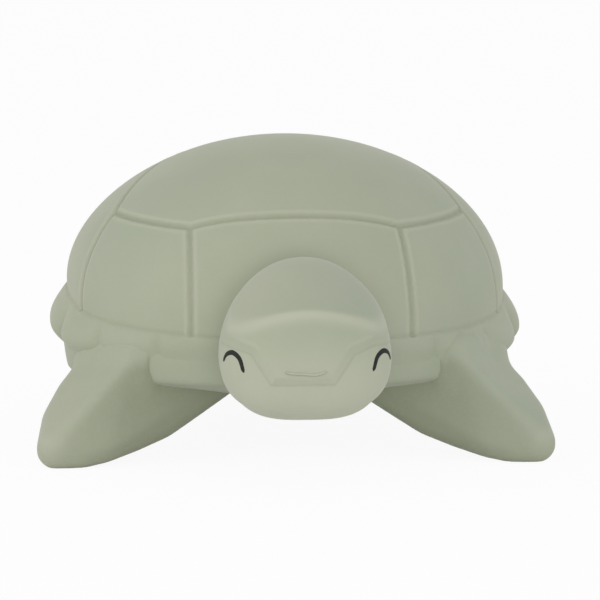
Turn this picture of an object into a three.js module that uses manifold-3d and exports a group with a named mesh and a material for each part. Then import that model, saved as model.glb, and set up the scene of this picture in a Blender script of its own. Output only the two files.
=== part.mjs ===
// Turtle bath toy in soft natural rubber, standing on its four flippers.
// Millimetres, +Z up, nose towards -Y, origin on the ground under the middle of the toy.
// Left and right are the turtle's own: its left side lies towards +X.

import * as THREE from 'three';
import { mergeVertices } from 'three/addons/utils/BufferGeometryUtils.js';
import { ConvexGeometry } from 'three/addons/geometries/ConvexGeometry.js';
import Module from 'manifold-3d';

// Fits and walls
const FIT_GAP = 0.4; // between neighbouring mouldings
const PAINT_GAP = 0.3; // round the painted eye lines
const SHELL_WALL = 2.6;
const SOCKET_WALL = 2.2;
const HEAD_WALL = 3.2;

// Upper shell
const SHELL_HALF_WIDTH = 46; // at the rim line, where the dome meets the marginal band
const SHELL_FRONT_REACH = 42; // from the widest place to the front rim
const SHELL_REAR_REACH = 46;
const RIM_HEIGHT = 26.1;
const DOME_RISE = 35.4;
const DOME_FULLNESS = 2.1; // 2 is an ellipse, higher is boxier

// Marginal band
const MARGINAL_COUNT = 18;
const SCUTE_CROWDING_ANGLE = 4; // degrees that the scutes draw together towards the flanks
const BAND_DROP_END = 3.5; // height of the band at the front and the rear
const BAND_DROP_FLANK = 9.5;
const BAND_DROP_STEEPNESS = 4; // higher keeps the band low further round towards the flanks
const BAND_FLARE = 1.1; // how far the band stands out from the dome
const BAND_LOBE = 1.1; // swell of each marginal scute
const LOBE_FLATNESS = 4; // higher makes flatter scutes with narrower grooves between them
const RIM_GROOVE_DEPTH = 0.5;
const RIM_GROOVE_SHARE = 0.12; // of the band's height, down from the rim line
const BAND_SECTION_SHARES = [[0, 1], [0.6, 0.9], [1, 0.55], [0.6, 0.28]]; // of flare and of height

// Scute grooves: corners in plan, as shares of the half width and of the front or rear reach,
// and the angle from the nose at which the groove below each corner runs into the rim, in degrees
const GROOVE_RADIUS = 0.9;
const FRONT_MIDDLE_SHARES = [0, -0.757];
const FRONT_CORNER_SHARES = [0.445, -0.72];
const FRONT_CORNER_ANGLE = 27;
const WIDE_CORNER_SHARES = [0.8, -0.21];
const WIDE_CORNER_ANGLE = 71.5;
const WAIST_CORNER_SHARES = [0.413, 0.283];
const REAR_CORNER_SHARES = [0.565, 0.565];
const REAR_CORNER_ANGLE = 132;
const TAIL_CORNER_SHARES = [0.196, 0.783];
const TAIL_CORNER_ANGLE = 166;

// Lower shell, its half widths as insets from the rim line
const LIP_INSET = 3; // outside of the lip that enters the upper shell
const LIP_SEAT_DROP = 1; // seat of the lip below the rim line
const TUB_WALL_INSET = 0.6; // top of the wall, under the band
const TUB_EDGE_INSET = 1.4; // sharp lower edge of the wall
const TUB_EDGE_HEIGHT = 16.3;
const TUB_HAUNCH_INSET = 9;
const TUB_HAUNCH_HEIGHT = 14.4;
const BELLY_INSET = 20;
const BELLY_HEIGHT = 11.5;
const TAIL_ROOT_RADIUS = 5;
const TAIL_TIP_RADIUS = 2.2;
const TAIL_LENGTH = 9;
const TAIL_HEIGHT = 15.5;
const TAIL_DROOP = 3;
const TAIL_SINK = 5; // start of the tail inside the wall

// Belly plug
const PLUG_PLACE = 4; // behind the widest place of the shell
const PLUG_FLANGE_RADIUS = 6;
const PLUG_FLANGE_THICKNESS = 1;
const PLUG_STEM_RADIUS = 3.6;
const PLUG_BARB_RADIUS = 4.9;
const PLUG_BARB_LENGTH = 1.6;

// Head
const HEAD_HALF_WIDTH = 16.8;
const HEAD_UP = 16;
const HEAD_DOWN = 18.2;
const HEAD_FORE = 14;
const HEAD_AFT = 13.5;
const HEAD_AHEAD_OF_NECK = 17.5;
const HEAD_HEIGHT = 30.6;
const CROWN_FULLNESS = 2.1;
const JAW_FULLNESS = 3.1;
const JAW_TO_CROWN = 0.4; // upward lean, either side of level, over which the one turns into the other
const BROW_HEIGHT = 6.3; // above the middle of the head
const CROWN_SLOPE = 0.62; // rise of the crown for each millimetre back from the brow
const CROWN_SIDE_DROP = 13.5; // fall of the crown from its middle to the side of the head
const CROWN_ROUNDNESS = 2.5; // higher keeps the crown level further out
const BEAK_STEP = 0.9; // how far brow and beak stand out from cheeks and chin
const BROW_LINE = -1.1;
const BEAK_TOP_HALF_WIDTH = 13.8;
const BEAK_BEND = [9.2, -2.4]; // half width, and height from the middle of the head
const BEAK_TIP = [5.9, -8.8];

// Neck
const NECK_INSET = 3.5; // pivot, behind the front of the rim line
const NECK_HEIGHT = 24.5;
const NECK_BALL_RADIUS = 12.5;
const NECK_RADIUS = 10.5;
const NECK_BORE_RADIUS = 4.5;
const NOD_DOWN_ANGLE = 10; // degrees
const NOD_UP_ANGLE = 8;

// Eyes, as places on the cheek: degrees round from the nose, and degrees up
const EYE_LINE_RADIUS = 0.42;
const EYE_INNER_END_ANGLES = [48, -22];
const EYE_INNER_SIDE_ANGLES = [51, -12.5];
const EYE_TOP_ANGLES = [57.5, -8.5];
const EYE_OUTER_SIDE_ANGLES = [65, -10.5];
const EYE_OUTER_END_ANGLES = [71, -17];

// Flippers: how far they swing and where the root balls sit, inset from the rim line,
// at an angle from the nose in degrees
const FLAP_DOWN_ANGLE = 10;
const FLAP_UP_ANGLE = 6;
const FOOT_FLAT_DEPTH = 0.5; // worn flat under each foot
const FRONT_ROOT_ANGLE = 50;
const FRONT_ROOT = { angle: FRONT_ROOT_ANGLE, inset: 12, height: 16.3, ball: 7.5, stem: 5.5 };
const REAR_ROOT_ANGLE = 140;
const REAR_ROOT = { angle: REAR_ROOT_ANGLE, inset: 12, height: 16, ball: 7, stem: 5 };

// Rounded corners of each flipper, from its root: outwards, forwards, radius, and for those
// off the ground the height of their middle
const FRONT_CORNERS = {
  tip: { out: 21.8, fore: 15.5, radius: 4 },
  sole: { out: 17.5, fore: 15.5, radius: 3.2 },
  toe: { out: 12.4, fore: 14.3, radius: 3, height: 3.4 },
  lowerEdge: { out: 6.6, fore: 11.4, radius: 3, height: 5 },
  lowerMiddle: { out: 0.6, fore: 8.6, radius: 3, height: 7.1 },
  lowerRoot: { out: -4.4, fore: 6, radius: 3, height: 10 },
  innerRoot: { out: -9.2, fore: 3.6, radius: 2.8, height: 14 },
  ridgeTop: { out: 5.5, fore: 9, radius: 4.5, height: 18.4 },
  ridgeMiddle: { out: 11, fore: 10, radius: 4.2, height: 14 },
  ridgeFoot: { out: 16.3, fore: 11.8, radius: 4, height: 9.2 },
  outerRoot: { out: 14.2, fore: -2, radius: 4.5, height: 14.5 },
  outerMiddle: { out: 17.4, fore: 2, radius: 4.3, height: 11.6 },
  outerEdge: { out: 20.4, fore: 8, radius: 4.2, height: 7.6 },
  heel: { out: 20.4, fore: 5, radius: 4.2 },
  shoulder: { out: 4, fore: 2, radius: 7, height: 14.2 },
};
const REAR_CORNERS = {
  tip: { out: 12.4, fore: -17.2, radius: 3.4 },
  toe: { out: 5.4, fore: -17.4, radius: 3.1 },
  innerEdge: { out: 0.8, fore: -12.5, radius: 3, height: 5.4 },
  innerRoot: { out: -3, fore: -7, radius: 4, height: 10.5 },
  heel: { out: 14.6, fore: -9, radius: 3.4 },
  outerEdge: { out: 13, fore: -6, radius: 4, height: 8.4 },
  outerRoot: { out: 7, fore: -5, radius: 5, height: 12.5 },
};

// Fineness of the round forms
const SIDES_PER_SCUTE = 4;
const SMOOTH_SIDES = 32;
const BORE_SIDES = 16;
const DOME_STEPS = 9;
const BALL_DETAIL = 2;
const FLIPPER_DETAIL = 2;
const STEM_DETAIL = 1;
const HEAD_DETAIL = 7;
const HOLLOW_DETAIL = 3;
const GROOVE_SIDES = 5;
const GROOVE_STEPS = 6;
const EYE_LINE_SIDES = 6;
const EYE_LINE_STEPS = 8;

const SHELL_SIDES = SIDES_PER_SCUTE * MARGINAL_COUNT;
const LIP_RADIUS = SHELL_HALF_WIDTH - LIP_INSET;
const TUB_WALL_RADIUS = SHELL_HALF_WIDTH - TUB_WALL_INSET;
const TUB_EDGE_RADIUS = SHELL_HALF_WIDTH - TUB_EDGE_INSET;
const TUB_HAUNCH_RADIUS = SHELL_HALF_WIDTH - TUB_HAUNCH_INSET;
const BELLY_RADIUS = SHELL_HALF_WIDTH - BELLY_INSET;
const NECK_FORWARD = SHELL_FRONT_REACH - NECK_INSET;
const SEAT_HEIGHT = RIM_HEIGHT - LIP_SEAT_DROP;
const LIP_TOP = SEAT_HEIGHT - FIT_GAP;
const NECK_PIVOT = new THREE.Vector3(0, -NECK_FORWARD, NECK_HEIGHT);
const HEAD_CENTRE = new THREE.Vector3(0, -NECK_FORWARD - HEAD_AHEAD_OF_NECK, HEAD_HEIGHT);
const FAR = 4 * SHELL_HALF_WIDTH; // larger than the whole toy

const wasm = await Module();
wasm.setup();

// Solids

function solidOf(geometry) {
  const bare = geometry.clone();
  bare.deleteAttribute('normal');
  bare.deleteAttribute('uv');
  const welded = mergeVertices(bare);
  const corners = welded.index.array;
  const kept = [];
  for (let i = 0; i < corners.length; i += 3) {
    const [a, b, c] = [corners[i], corners[i + 1], corners[i + 2]];
    if (a !== b && b !== c && c !== a) kept.push(a, b, c);
  }
  return new wasm.Manifold(new wasm.Mesh({
    numProp: 3,
    vertProperties: new Float32Array(welded.attributes.position.array),
    triVerts: new Uint32Array(kept),
  }));
}

function joined(solids) {
  return solids.reduce((whole, next) => whole.add(next));
}

function ballGeometry(centre, radius, detail) {
  return new THREE.IcosahedronGeometry(radius, detail).translate(centre.x, centre.y, centre.z);
}

function ball(centre, radius) {
  return solidOf(ballGeometry(centre, radius, BALL_DETAIL));
}

// A soft rounded body: the tightest skin round a set of balls.
function roundedHull(balls, detail) {
  const points = [];
  for (const { centre, radius } of balls) {
    const place = ballGeometry(centre, radius, detail).getAttribute('position');
    for (let i = 0; i < place.count; i += 1) {
      points.push(new THREE.Vector3().fromBufferAttribute(place, i));
    }
  }
  return new ConvexGeometry(points);
}

// Turns a geometry about a pivot, by degrees about +X and about +Y.
function turned(geometry, pivot, aboutX, aboutY) {
  return geometry.clone()
    .translate(-pivot.x, -pivot.y, -pivot.z)
    .rotateX(THREE.MathUtils.degToRad(aboutX))
    .rotateY(THREE.MathUtils.degToRad(aboutY))
    .translate(pivot.x, pivot.y, pivot.z);
}

// A tube along points, with flat ends.
function tube(points, radius, sides, steps) {
  const section = [];
  for (let i = 0; i < sides; i += 1) {
    const turn = (i / sides) * 2 * Math.PI;
    section.push(new THREE.Vector2(radius * Math.cos(turn), radius * Math.sin(turn)));
  }
  const path = new THREE.CatmullRomCurve3(points);
  return solidOf(new THREE.ExtrudeGeometry(new THREE.Shape(section), { steps, extrudePath: path }));
}

// Shell outline

function turning(profile, sides) {
  return new THREE.LatheGeometry(profile, sides).rotateX(Math.PI / 2);
}

// Draws a round plan out to the shell's oval.
function drawnOut(geometry) {
  const place = geometry.getAttribute('position');
  for (let i = 0; i < place.count; i += 1) {
    place.setY(i, alongShell(place.getY(i)));
  }
  return geometry;
}

function oval(profile, sides) {
  return drawnOut(turning(profile, sides));
}

function alongShell(y) {
  const reach = y < 0 ? SHELL_FRONT_REACH : SHELL_REAR_REACH;
  return (y * reach) / SHELL_HALF_WIDTH;
}

function domeProfile(halfWidth, rise) {
  const points = [];
  for (let i = 0; i <= DOME_STEPS; i += 1) {
    const turn = ((i / DOME_STEPS) * Math.PI) / 2;
    const out = halfWidth * Math.cos(turn) ** (2 / DOME_FULLNESS);
    const up = rise * Math.sin(turn) ** (2 / DOME_FULLNESS);
    points.push(new THREE.Vector2(out, RIM_HEIGHT + up));
  }
  return points;
}

function domeHeight(x, y) {
  const reach = y < 0 ? SHELL_FRONT_REACH : SHELL_REAR_REACH;
  const out = Math.min(1, Math.hypot(x / SHELL_HALF_WIDTH, y / reach));
  return RIM_HEIGHT + DOME_RISE * (1 - out ** DOME_FULLNESS) ** (1 / DOME_FULLNESS);
}

// Upper shell

// The dome with its band below the rim line, as one solid lump.
function domeAndBand() {
  const profile = [new THREE.Vector2(0, RIM_HEIGHT - BAND_DROP_END)];
  for (const [flare, drop] of BAND_SECTION_SHARES) {
    const out = SHELL_HALF_WIDTH + flare * BAND_FLARE;
    profile.push(new THREE.Vector2(out, RIM_HEIGHT - drop * BAND_DROP_END));
  }
  const grooveHeight = RIM_HEIGHT - RIM_GROOVE_SHARE * BAND_DROP_END;
  profile.push(new THREE.Vector2(SHELL_HALF_WIDTH - RIM_GROOVE_DEPTH, grooveHeight));
  profile.push(...domeProfile(SHELL_HALF_WIDTH, DOME_RISE));
  const round = swollenScutes(turning(profile, SHELL_SIDES));
  return deepenedBand(drawnOut(crowdedScutes(round)));
}

// Swells the band, below the rim groove, into marginal scutes.
function swollenScutes(geometry) {
  const place = geometry.getAttribute('position');
  const [, scuteTopShare] = BAND_SECTION_SHARES[BAND_SECTION_SHARES.length - 1];
  const scuteTop = RIM_HEIGHT - BAND_DROP_END * (scuteTopShare + RIM_GROOVE_SHARE) / 2;
  for (let i = 0; i < place.count; i += 1) {
    const [x, y] = [place.getX(i), place.getY(i)];
    const out = Math.hypot(x, y);
    if (place.getZ(i) < scuteTop && out > 0) {
      const grown = 1 + (BAND_LOBE * lobe(Math.atan2(x, -y))) / out;
      place.setXY(i, x * grown, y * grown);
    }
  }
  return geometry;
}

// One in the middle of a marginal scute, zero at the groove between two.
function lobe(bearing) {
  return 1 - Math.abs(Math.sin((bearing * MARGINAL_COUNT) / 2)) ** LOBE_FLATNESS;
}

// Draws the scutes together towards the flanks, so that those at the nose and the tail are wider.
function crowdedScutes(geometry) {
  const place = geometry.getAttribute('position');
  const crowding = THREE.MathUtils.degToRad(SCUTE_CROWDING_ANGLE);
  for (let i = 0; i < place.count; i += 1) {
    const [x, y] = [place.getX(i), place.getY(i)];
    const bearing = Math.atan2(x, -y);
    const moved = bearing + crowding * Math.sin(2 * bearing);
    const out = Math.hypot(x, y);
    place.setXY(i, out * Math.sin(moved), -out * Math.cos(moved));
  }
  return geometry;
}

// Draws what lies below the rim line down towards the sides, where the band is deeper.
function deepenedBand(geometry) {
  const place = geometry.getAttribute('position');
  for (let i = 0; i < place.count; i += 1) {
    const [x, y] = [place.getX(i), place.getY(i)];
    const out = Math.hypot(x, y);
    const below = (RIM_HEIGHT - place.getZ(i)) / BAND_DROP_END;
    if (below > 0 && out > 0) {
      const flank = Math.abs(x / out) ** BAND_DROP_STEEPNESS;
      const drop = BAND_DROP_END + (BAND_DROP_FLANK - BAND_DROP_END) * flank;
      place.setZ(i, RIM_HEIGHT - below * drop);
    }
  }
  return geometry;
}

// A groove over the dome between two places in plan. One that runs down to the rim takes
// shorter steps there, where the dome falls steeply.
function groove(from, to, easing) {
  const points = [];
  for (let i = 0; i <= GROOVE_STEPS; i += 1) {
    const along = easing(i / GROOVE_STEPS);
    const x = from[0] + (to[0] - from[0]) * along;
    const y = from[1] + (to[1] - from[1]) * along;
    points.push(new THREE.Vector3(x, y, domeHeight(x, y)));
  }
  return tube(points, GROOVE_RADIUS, GROOVE_SIDES, GROOVE_STEPS);
}

function evenly(part) {
  return part;
}

function shorterAtRim(part) {
  return Math.sin((part * Math.PI) / 2);
}

function rimPlace(degrees) {
  const bearing = THREE.MathUtils.degToRad(degrees);
  return [SHELL_HALF_WIDTH * Math.sin(bearing), alongShell(-SHELL_HALF_WIDTH * Math.cos(bearing))];
}

function shellPlace([across, along]) {
  return [across * SHELL_HALF_WIDTH, alongShell(along * SHELL_HALF_WIDTH)];
}

function scuteGrooves() {
  const cuts = [];
  const middle = shellPlace(FRONT_MIDDLE_SHARES);
  const front = shellPlace(FRONT_CORNER_SHARES);
  const wide = shellPlace(WIDE_CORNER_SHARES);
  const waist = shellPlace(WAIST_CORNER_SHARES);
  const rear = shellPlace(REAR_CORNER_SHARES);
  const tailward = shellPlace(TAIL_CORNER_SHARES);
  for (const corner of [waist, tailward]) {
    cuts.push(groove([-corner[0], corner[1]], corner, evenly));
  }
  const edges = [
    [middle, front, evenly],
    [front, wide, evenly],
    [wide, waist, evenly],
    [waist, rear, evenly],
    [rear, tailward, evenly],
    [front, rimPlace(FRONT_CORNER_ANGLE), shorterAtRim],
    [wide, rimPlace(WIDE_CORNER_ANGLE), shorterAtRim],
    [rear, rimPlace(REAR_CORNER_ANGLE), shorterAtRim],
    [tailward, rimPlace(TAIL_CORNER_ANGLE), shorterAtRim],
  ];
  for (const side of [-1, 1]) {
    for (const [from, to, easing] of edges) {
      cuts.push(groove([side * from[0], from[1]], [side * to[0], to[1]], easing));
    }
  }
  return joined(cuts);
}

function upperShell() {
  const lump = solidOf(domeAndBand());
  const cavityProfile = domeProfile(LIP_RADIUS - SHELL_WALL, DOME_RISE - SHELL_WALL);
  const cavity = solidOf(oval([new THREE.Vector2(0, 0), ...floorOf(cavityProfile)], SMOOTH_SIDES));
  const recess = solidOf(oval(cylinderProfile(LIP_RADIUS + FIT_GAP, 0, SEAT_HEIGHT), SMOOTH_SIDES));
  const neckHousing = lump.intersect(ball(NECK_PIVOT, NECK_BALL_RADIUS + FIT_GAP + SOCKET_WALL));
  return lump.subtract(cavity)
    .add(neckHousing)
    .subtract(recess)
    .subtract(neckRoom())
    .subtract(scuteGrooves());
}

// Carries the lower end of a profile straight down to the ground.
function floorOf(profile) {
  return [new THREE.Vector2(profile[0].x, 0), ...profile];
}

function cylinderProfile(radius, from, to) {
  return [
    new THREE.Vector2(0, from),
    new THREE.Vector2(radius, from),
    new THREE.Vector2(radius, to),
    new THREE.Vector2(0, to),
  ];
}

// Lower shell

// Outside of the tub with something added all round. The wall runs on up to the lip's top.
function tubOutside(grown) {
  return [
    new THREE.Vector2(0, BELLY_HEIGHT - grown),
    new THREE.Vector2(BELLY_RADIUS, BELLY_HEIGHT - grown),
    new THREE.Vector2(TUB_HAUNCH_RADIUS + grown, TUB_HAUNCH_HEIGHT - grown),
    new THREE.Vector2(TUB_EDGE_RADIUS + grown, TUB_EDGE_HEIGHT - grown),
    new THREE.Vector2(TUB_WALL_RADIUS + grown, LIP_TOP),
    new THREE.Vector2(0, LIP_TOP),
  ];
}

// Room that the band takes up round the lip.
function bandRoom() {
  const lip = solidOf(oval(cylinderProfile(LIP_RADIUS, 0, RIM_HEIGHT), SMOOTH_SIDES));
  return solidOf(domeEnvelope()).subtract(lip);
}

function lowerShell() {
  const lump = solidOf(oval(tubOutside(0), SMOOTH_SIDES)).subtract(bandRoom());
  const inside = [
    new THREE.Vector2(0, BELLY_HEIGHT + SHELL_WALL),
    new THREE.Vector2(BELLY_RADIUS, BELLY_HEIGHT + SHELL_WALL),
    new THREE.Vector2(TUB_HAUNCH_RADIUS - SHELL_WALL, TUB_HAUNCH_HEIGHT + SHELL_WALL),
    new THREE.Vector2(LIP_RADIUS - SHELL_WALL, TUB_EDGE_HEIGHT + SHELL_WALL / 2),
    new THREE.Vector2(LIP_RADIUS - SHELL_WALL, RIM_HEIGHT),
    new THREE.Vector2(0, RIM_HEIGHT),
  ];
  const cavity = solidOf(oval(inside, SMOOTH_SIDES));
  const housings = [ball(NECK_PIVOT, NECK_BALL_RADIUS + FIT_GAP + SOCKET_WALL)];
  const rooms = [neckRoom()];
  for (const root of [FRONT_ROOT, REAR_ROOT]) {
    for (const side of [-1, 1]) {
      housings.push(ball(rootPlace(root, side), root.ball + FIT_GAP + SOCKET_WALL));
      rooms.push(flipperRoom(root, side));
    }
  }
  return lump.subtract(cavity)
    .add(joined(housings).intersect(lump))
    .add(tail())
    .subtract(joined(rooms))
    .subtract(plugHole());
}

function tail() {
  const root = new THREE.Vector3(0, alongShell(TUB_EDGE_RADIUS) - TAIL_SINK, TAIL_HEIGHT);
  const tip = new THREE.Vector3(0, root.y + TAIL_LENGTH, TAIL_HEIGHT - TAIL_DROOP);
  return solidOf(roundedHull([
    { centre: root, radius: TAIL_ROOT_RADIUS },
    { centre: tip, radius: TAIL_TIP_RADIUS },
  ], STEM_DETAIL));
}

// Belly plug

function plugHole() {
  const seat = BELLY_HEIGHT + PLUG_FLANGE_THICKNESS + FIT_GAP;
  const profile = [
    new THREE.Vector2(0, 0),
    new THREE.Vector2(PLUG_FLANGE_RADIUS + FIT_GAP, 0),
    new THREE.Vector2(PLUG_FLANGE_RADIUS + FIT_GAP, seat),
    new THREE.Vector2(PLUG_STEM_RADIUS + FIT_GAP, seat),
    new THREE.Vector2(PLUG_STEM_RADIUS + FIT_GAP, SEAT_HEIGHT),
    new THREE.Vector2(0, SEAT_HEIGHT),
  ];
  return solidOf(plugTurning(profile));
}

function bellyPlug() {
  const flangeTop = BELLY_HEIGHT + PLUG_FLANGE_THICKNESS;
  const barb = BELLY_HEIGHT + SHELL_WALL + FIT_GAP;
  return solidOf(plugTurning([
    new THREE.Vector2(0, BELLY_HEIGHT),
    new THREE.Vector2(PLUG_FLANGE_RADIUS, BELLY_HEIGHT),
    new THREE.Vector2(PLUG_FLANGE_RADIUS, flangeTop),
    new THREE.Vector2(PLUG_STEM_RADIUS, flangeTop),
    new THREE.Vector2(PLUG_STEM_RADIUS, barb),
    new THREE.Vector2(PLUG_BARB_RADIUS, barb),
    new THREE.Vector2(PLUG_STEM_RADIUS, barb + PLUG_BARB_LENGTH),
    new THREE.Vector2(0, barb + PLUG_BARB_LENGTH),
  ]));
}

function plugTurning(profile) {
  return turning(profile, SMOOTH_SIDES).translate(0, PLUG_PLACE, 0);
}

// Room that the shell takes up, with a fit gap round it, which every limb keeps clear of

function tubEnvelope() {
  return oval(tubOutside(FIT_GAP), SMOOTH_SIDES);
}

function domeEnvelope() {
  const bandOut = SHELL_HALF_WIDTH + BAND_FLARE + BAND_LOBE + FIT_GAP;
  const bandFoot = RIM_HEIGHT - BAND_DROP_END - FIT_GAP;
  return deepenedBand(oval([
    new THREE.Vector2(0, bandFoot),
    new THREE.Vector2(bandOut, bandFoot),
    ...domeProfile(bandOut, DOME_RISE + FIT_GAP),
  ], SMOOTH_SIDES));
}

// The same room as a limb sees it over its whole swing.
function shellSweep(pivot, swings) {
  const rooms = [];
  for (const [aboutX, aboutY] of swings) {
    rooms.push(solidOf(turned(tubEnvelope(), pivot, aboutX, aboutY)));
    rooms.push(solidOf(turned(domeEnvelope(), pivot, aboutX, aboutY)));
  }
  return joined(rooms);
}

// Head and neck

// A rounded box: full and square at the jaw, rounder at the crown.
function headPoint(direction, inset) {
  const across = HEAD_HALF_WIDTH - inset;
  const along = (direction.y < 0 ? HEAD_FORE : HEAD_AFT) - inset;
  const upright = (direction.z < 0 ? HEAD_DOWN : HEAD_UP) - inset;
  const crown = THREE.MathUtils.smoothstep(direction.z, -JAW_TO_CROWN, JAW_TO_CROWN);
  const fullness = THREE.MathUtils.lerp(JAW_FULLNESS, CROWN_FULLNESS, crown);
  const sum = Math.abs(direction.x / across) ** fullness
    + Math.abs(direction.y / along) ** fullness
    + Math.abs(direction.z / upright) ** fullness;
  const point = direction.clone().multiplyScalar(sum ** (-1 / fullness));
  const sideDrop = CROWN_SIDE_DROP * Math.abs(point.x / HEAD_HALF_WIDTH) ** CROWN_ROUNDNESS;
  const crownTop = BROW_HEIGHT + (point.y + HEAD_FORE) * CROWN_SLOPE - sideDrop;
  point.z = Math.min(point.z, crownTop - inset);
  return point.add(HEAD_CENTRE);
}

function headForm(inset, detail) {
  const geometry = new THREE.IcosahedronGeometry(1, detail);
  const place = geometry.getAttribute('position');
  const direction = new THREE.Vector3();
  for (let i = 0; i < place.count; i += 1) {
    const point = headPoint(direction.fromBufferAttribute(place, i).normalize(), inset);
    place.setXYZ(i, point.x, point.y, point.z);
  }
  return solidOf(geometry);
}

// Brow and beak as seen from the front, run back through the head.
function maskPrism() {
  const outline = [
    [-FAR, BROW_LINE],
    [-BEAK_TOP_HALF_WIDTH, BROW_LINE],
    [-BEAK_BEND[0], BEAK_BEND[1]],
    [-BEAK_TIP[0], BEAK_TIP[1]],
    [BEAK_TIP[0], BEAK_TIP[1]],
    [BEAK_BEND[0], BEAK_BEND[1]],
    [BEAK_TOP_HALF_WIDTH, BROW_LINE],
    [FAR, BROW_LINE],
    [FAR, FAR],
    [-FAR, FAR],
  ];
  const shape = new THREE.Shape(outline.map(([x, y]) => new THREE.Vector2(x, y)));
  const geometry = new THREE.ExtrudeGeometry(shape, { depth: FAR, bevelEnabled: false })
    .rotateX(Math.PI / 2)
    .translate(0, FAR / 2, 0)
    .translate(HEAD_CENTRE.x, HEAD_CENTRE.y, HEAD_CENTRE.z);
  return solidOf(geometry);
}

function neckHull(grown) {
  return roundedHull([
    { centre: NECK_PIVOT, radius: NECK_RADIUS + grown },
    { centre: HEAD_CENTRE, radius: NECK_RADIUS + grown },
  ], STEM_DETAIL);
}

const NODS = [[0, 0], [NOD_DOWN_ANGLE, 0], [-NOD_UP_ANGLE, 0]];

// Socket and mouth that the neck swings in.
function neckRoom() {
  const neck = neckHull(FIT_GAP);
  const swept = NODS.map(([aboutX, aboutY]) => solidOf(turned(neck, NECK_PIVOT, aboutX, aboutY)));
  return joined([ball(NECK_PIVOT, NECK_BALL_RADIUS + FIT_GAP), ...swept]);
}

function head() {
  const shellSeenByHead = shellSweep(NECK_PIVOT, NODS.map(([aboutX, aboutY]) => [-aboutX, aboutY]));
  const face = headForm(BEAK_STEP, HEAD_DETAIL).add(headForm(0, HEAD_DETAIL).intersect(maskPrism()));
  return face.subtract(shellSeenByHead)
    .add(solidOf(neckHull(0)))
    .add(ball(NECK_PIVOT, NECK_BALL_RADIUS))
    .subtract(headForm(HEAD_WALL, HOLLOW_DETAIL))
    .subtract(neckBore())
    .subtract(eyeLine(-1, EYE_LINE_RADIUS + PAINT_GAP))
    .subtract(eyeLine(1, EYE_LINE_RADIUS + PAINT_GAP));
}

// Joins the hollow of the head to the hollow of the shell.
function neckBore() {
  const length = HEAD_AHEAD_OF_NECK + 2 * NECK_BALL_RADIUS;
  const cylinder = new THREE.CylinderGeometry(NECK_BORE_RADIUS, NECK_BORE_RADIUS, length, BORE_SIDES);
  return solidOf(cylinder.translate(0, HEAD_CENTRE.y + length / 2, NECK_HEIGHT));
}

// A closed, smiling eye: a line on the cheek, arched upwards.
function eyeLine(side, radius) {
  const places = [
    EYE_INNER_END_ANGLES,
    EYE_INNER_SIDE_ANGLES,
    EYE_TOP_ANGLES,
    EYE_OUTER_SIDE_ANGLES,
    EYE_OUTER_END_ANGLES,
  ];
  const points = places.map(([round, up]) => {
    const bearing = THREE.MathUtils.degToRad(round);
    const rise = THREE.MathUtils.degToRad(up);
    const level = Math.cos(rise);
    const x = side * Math.sin(bearing) * level;
    return headPoint(new THREE.Vector3(x, -Math.cos(bearing) * level, Math.sin(rise)), BEAK_STEP);
  });
  return tube(points, radius, EYE_LINE_SIDES, EYE_LINE_STEPS);
}

// Flippers

const FLAPS = [0, -FLAP_DOWN_ANGLE, FLAP_UP_ANGLE];

function rootPlace(root, side) {
  const bearing = THREE.MathUtils.degToRad(root.angle);
  const out = SHELL_HALF_WIDTH - root.inset;
  const y = alongShell(-out * Math.cos(bearing));
  return new THREE.Vector3(side * out * Math.sin(bearing), y, root.height);
}

// Short stem between the root ball and the blade.
function stemHull(root, side, grown) {
  const start = rootPlace(root, side);
  const outwards = new THREE.Vector3(start.x, start.y, -Math.hypot(start.x, start.y)).normalize();
  return roundedHull([
    { centre: start, radius: root.stem + grown },
    { centre: start.clone().addScaledVector(outwards, root.ball), radius: root.stem + grown },
  ], STEM_DETAIL);
}

// Socket and mouth that a flipper's root swings in. An upward flap turns about +Y on the right side.
function flipperRoom(root, side) {
  const pivot = rootPlace(root, side);
  const stem = stemHull(root, side, FIT_GAP);
  const swept = FLAPS.map((flap) => solidOf(turned(stem, pivot, 0, -side * flap)));
  return joined([ball(pivot, root.ball + FIT_GAP), ...swept]);
}

function flipper(root, corners, side) {
  const pivot = rootPlace(root, side);
  const balls = Object.values(corners).map((corner) => {
    const { out, fore, radius, height = radius - FOOT_FLAT_DEPTH } = corner;
    return { centre: new THREE.Vector3(pivot.x + side * out, pivot.y - fore, height), radius };
  });
  const shellSeenByFlipper = shellSweep(pivot, FLAPS.map((flap) => [0, side * flap]));
  const ground = solidOf(new THREE.BoxGeometry(FAR, FAR, FAR).translate(0, 0, -FAR / 2));
  return solidOf(roundedHull(balls, FLIPPER_DETAIL))
    .subtract(shellSeenByFlipper)
    .add(solidOf(stemHull(root, side, 0)))
    .add(ball(pivot, root.ball))
    .subtract(ground);
}

// Materials

function sageRubber() {
  return new THREE.MeshStandardMaterial({ color: 0xa9ad97, roughness: 0.75, metalness: 0 });
}

function eyePaint() {
  return new THREE.MeshStandardMaterial({ color: 0x3f413c, roughness: 0.6, metalness: 0 });
}

// Assembly

function piece(name, solid, material) {
  const { vertProperties, triVerts } = solid.getMesh();
  const geometry = new THREE.BufferGeometry();
  geometry.setAttribute('position', new THREE.BufferAttribute(vertProperties, 3));
  geometry.setIndex(new THREE.BufferAttribute(triVerts, 1));
  geometry.computeVertexNormals();
  const mesh = new THREE.Mesh(geometry, material);
  mesh.name = name;
  return mesh;
}

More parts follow.
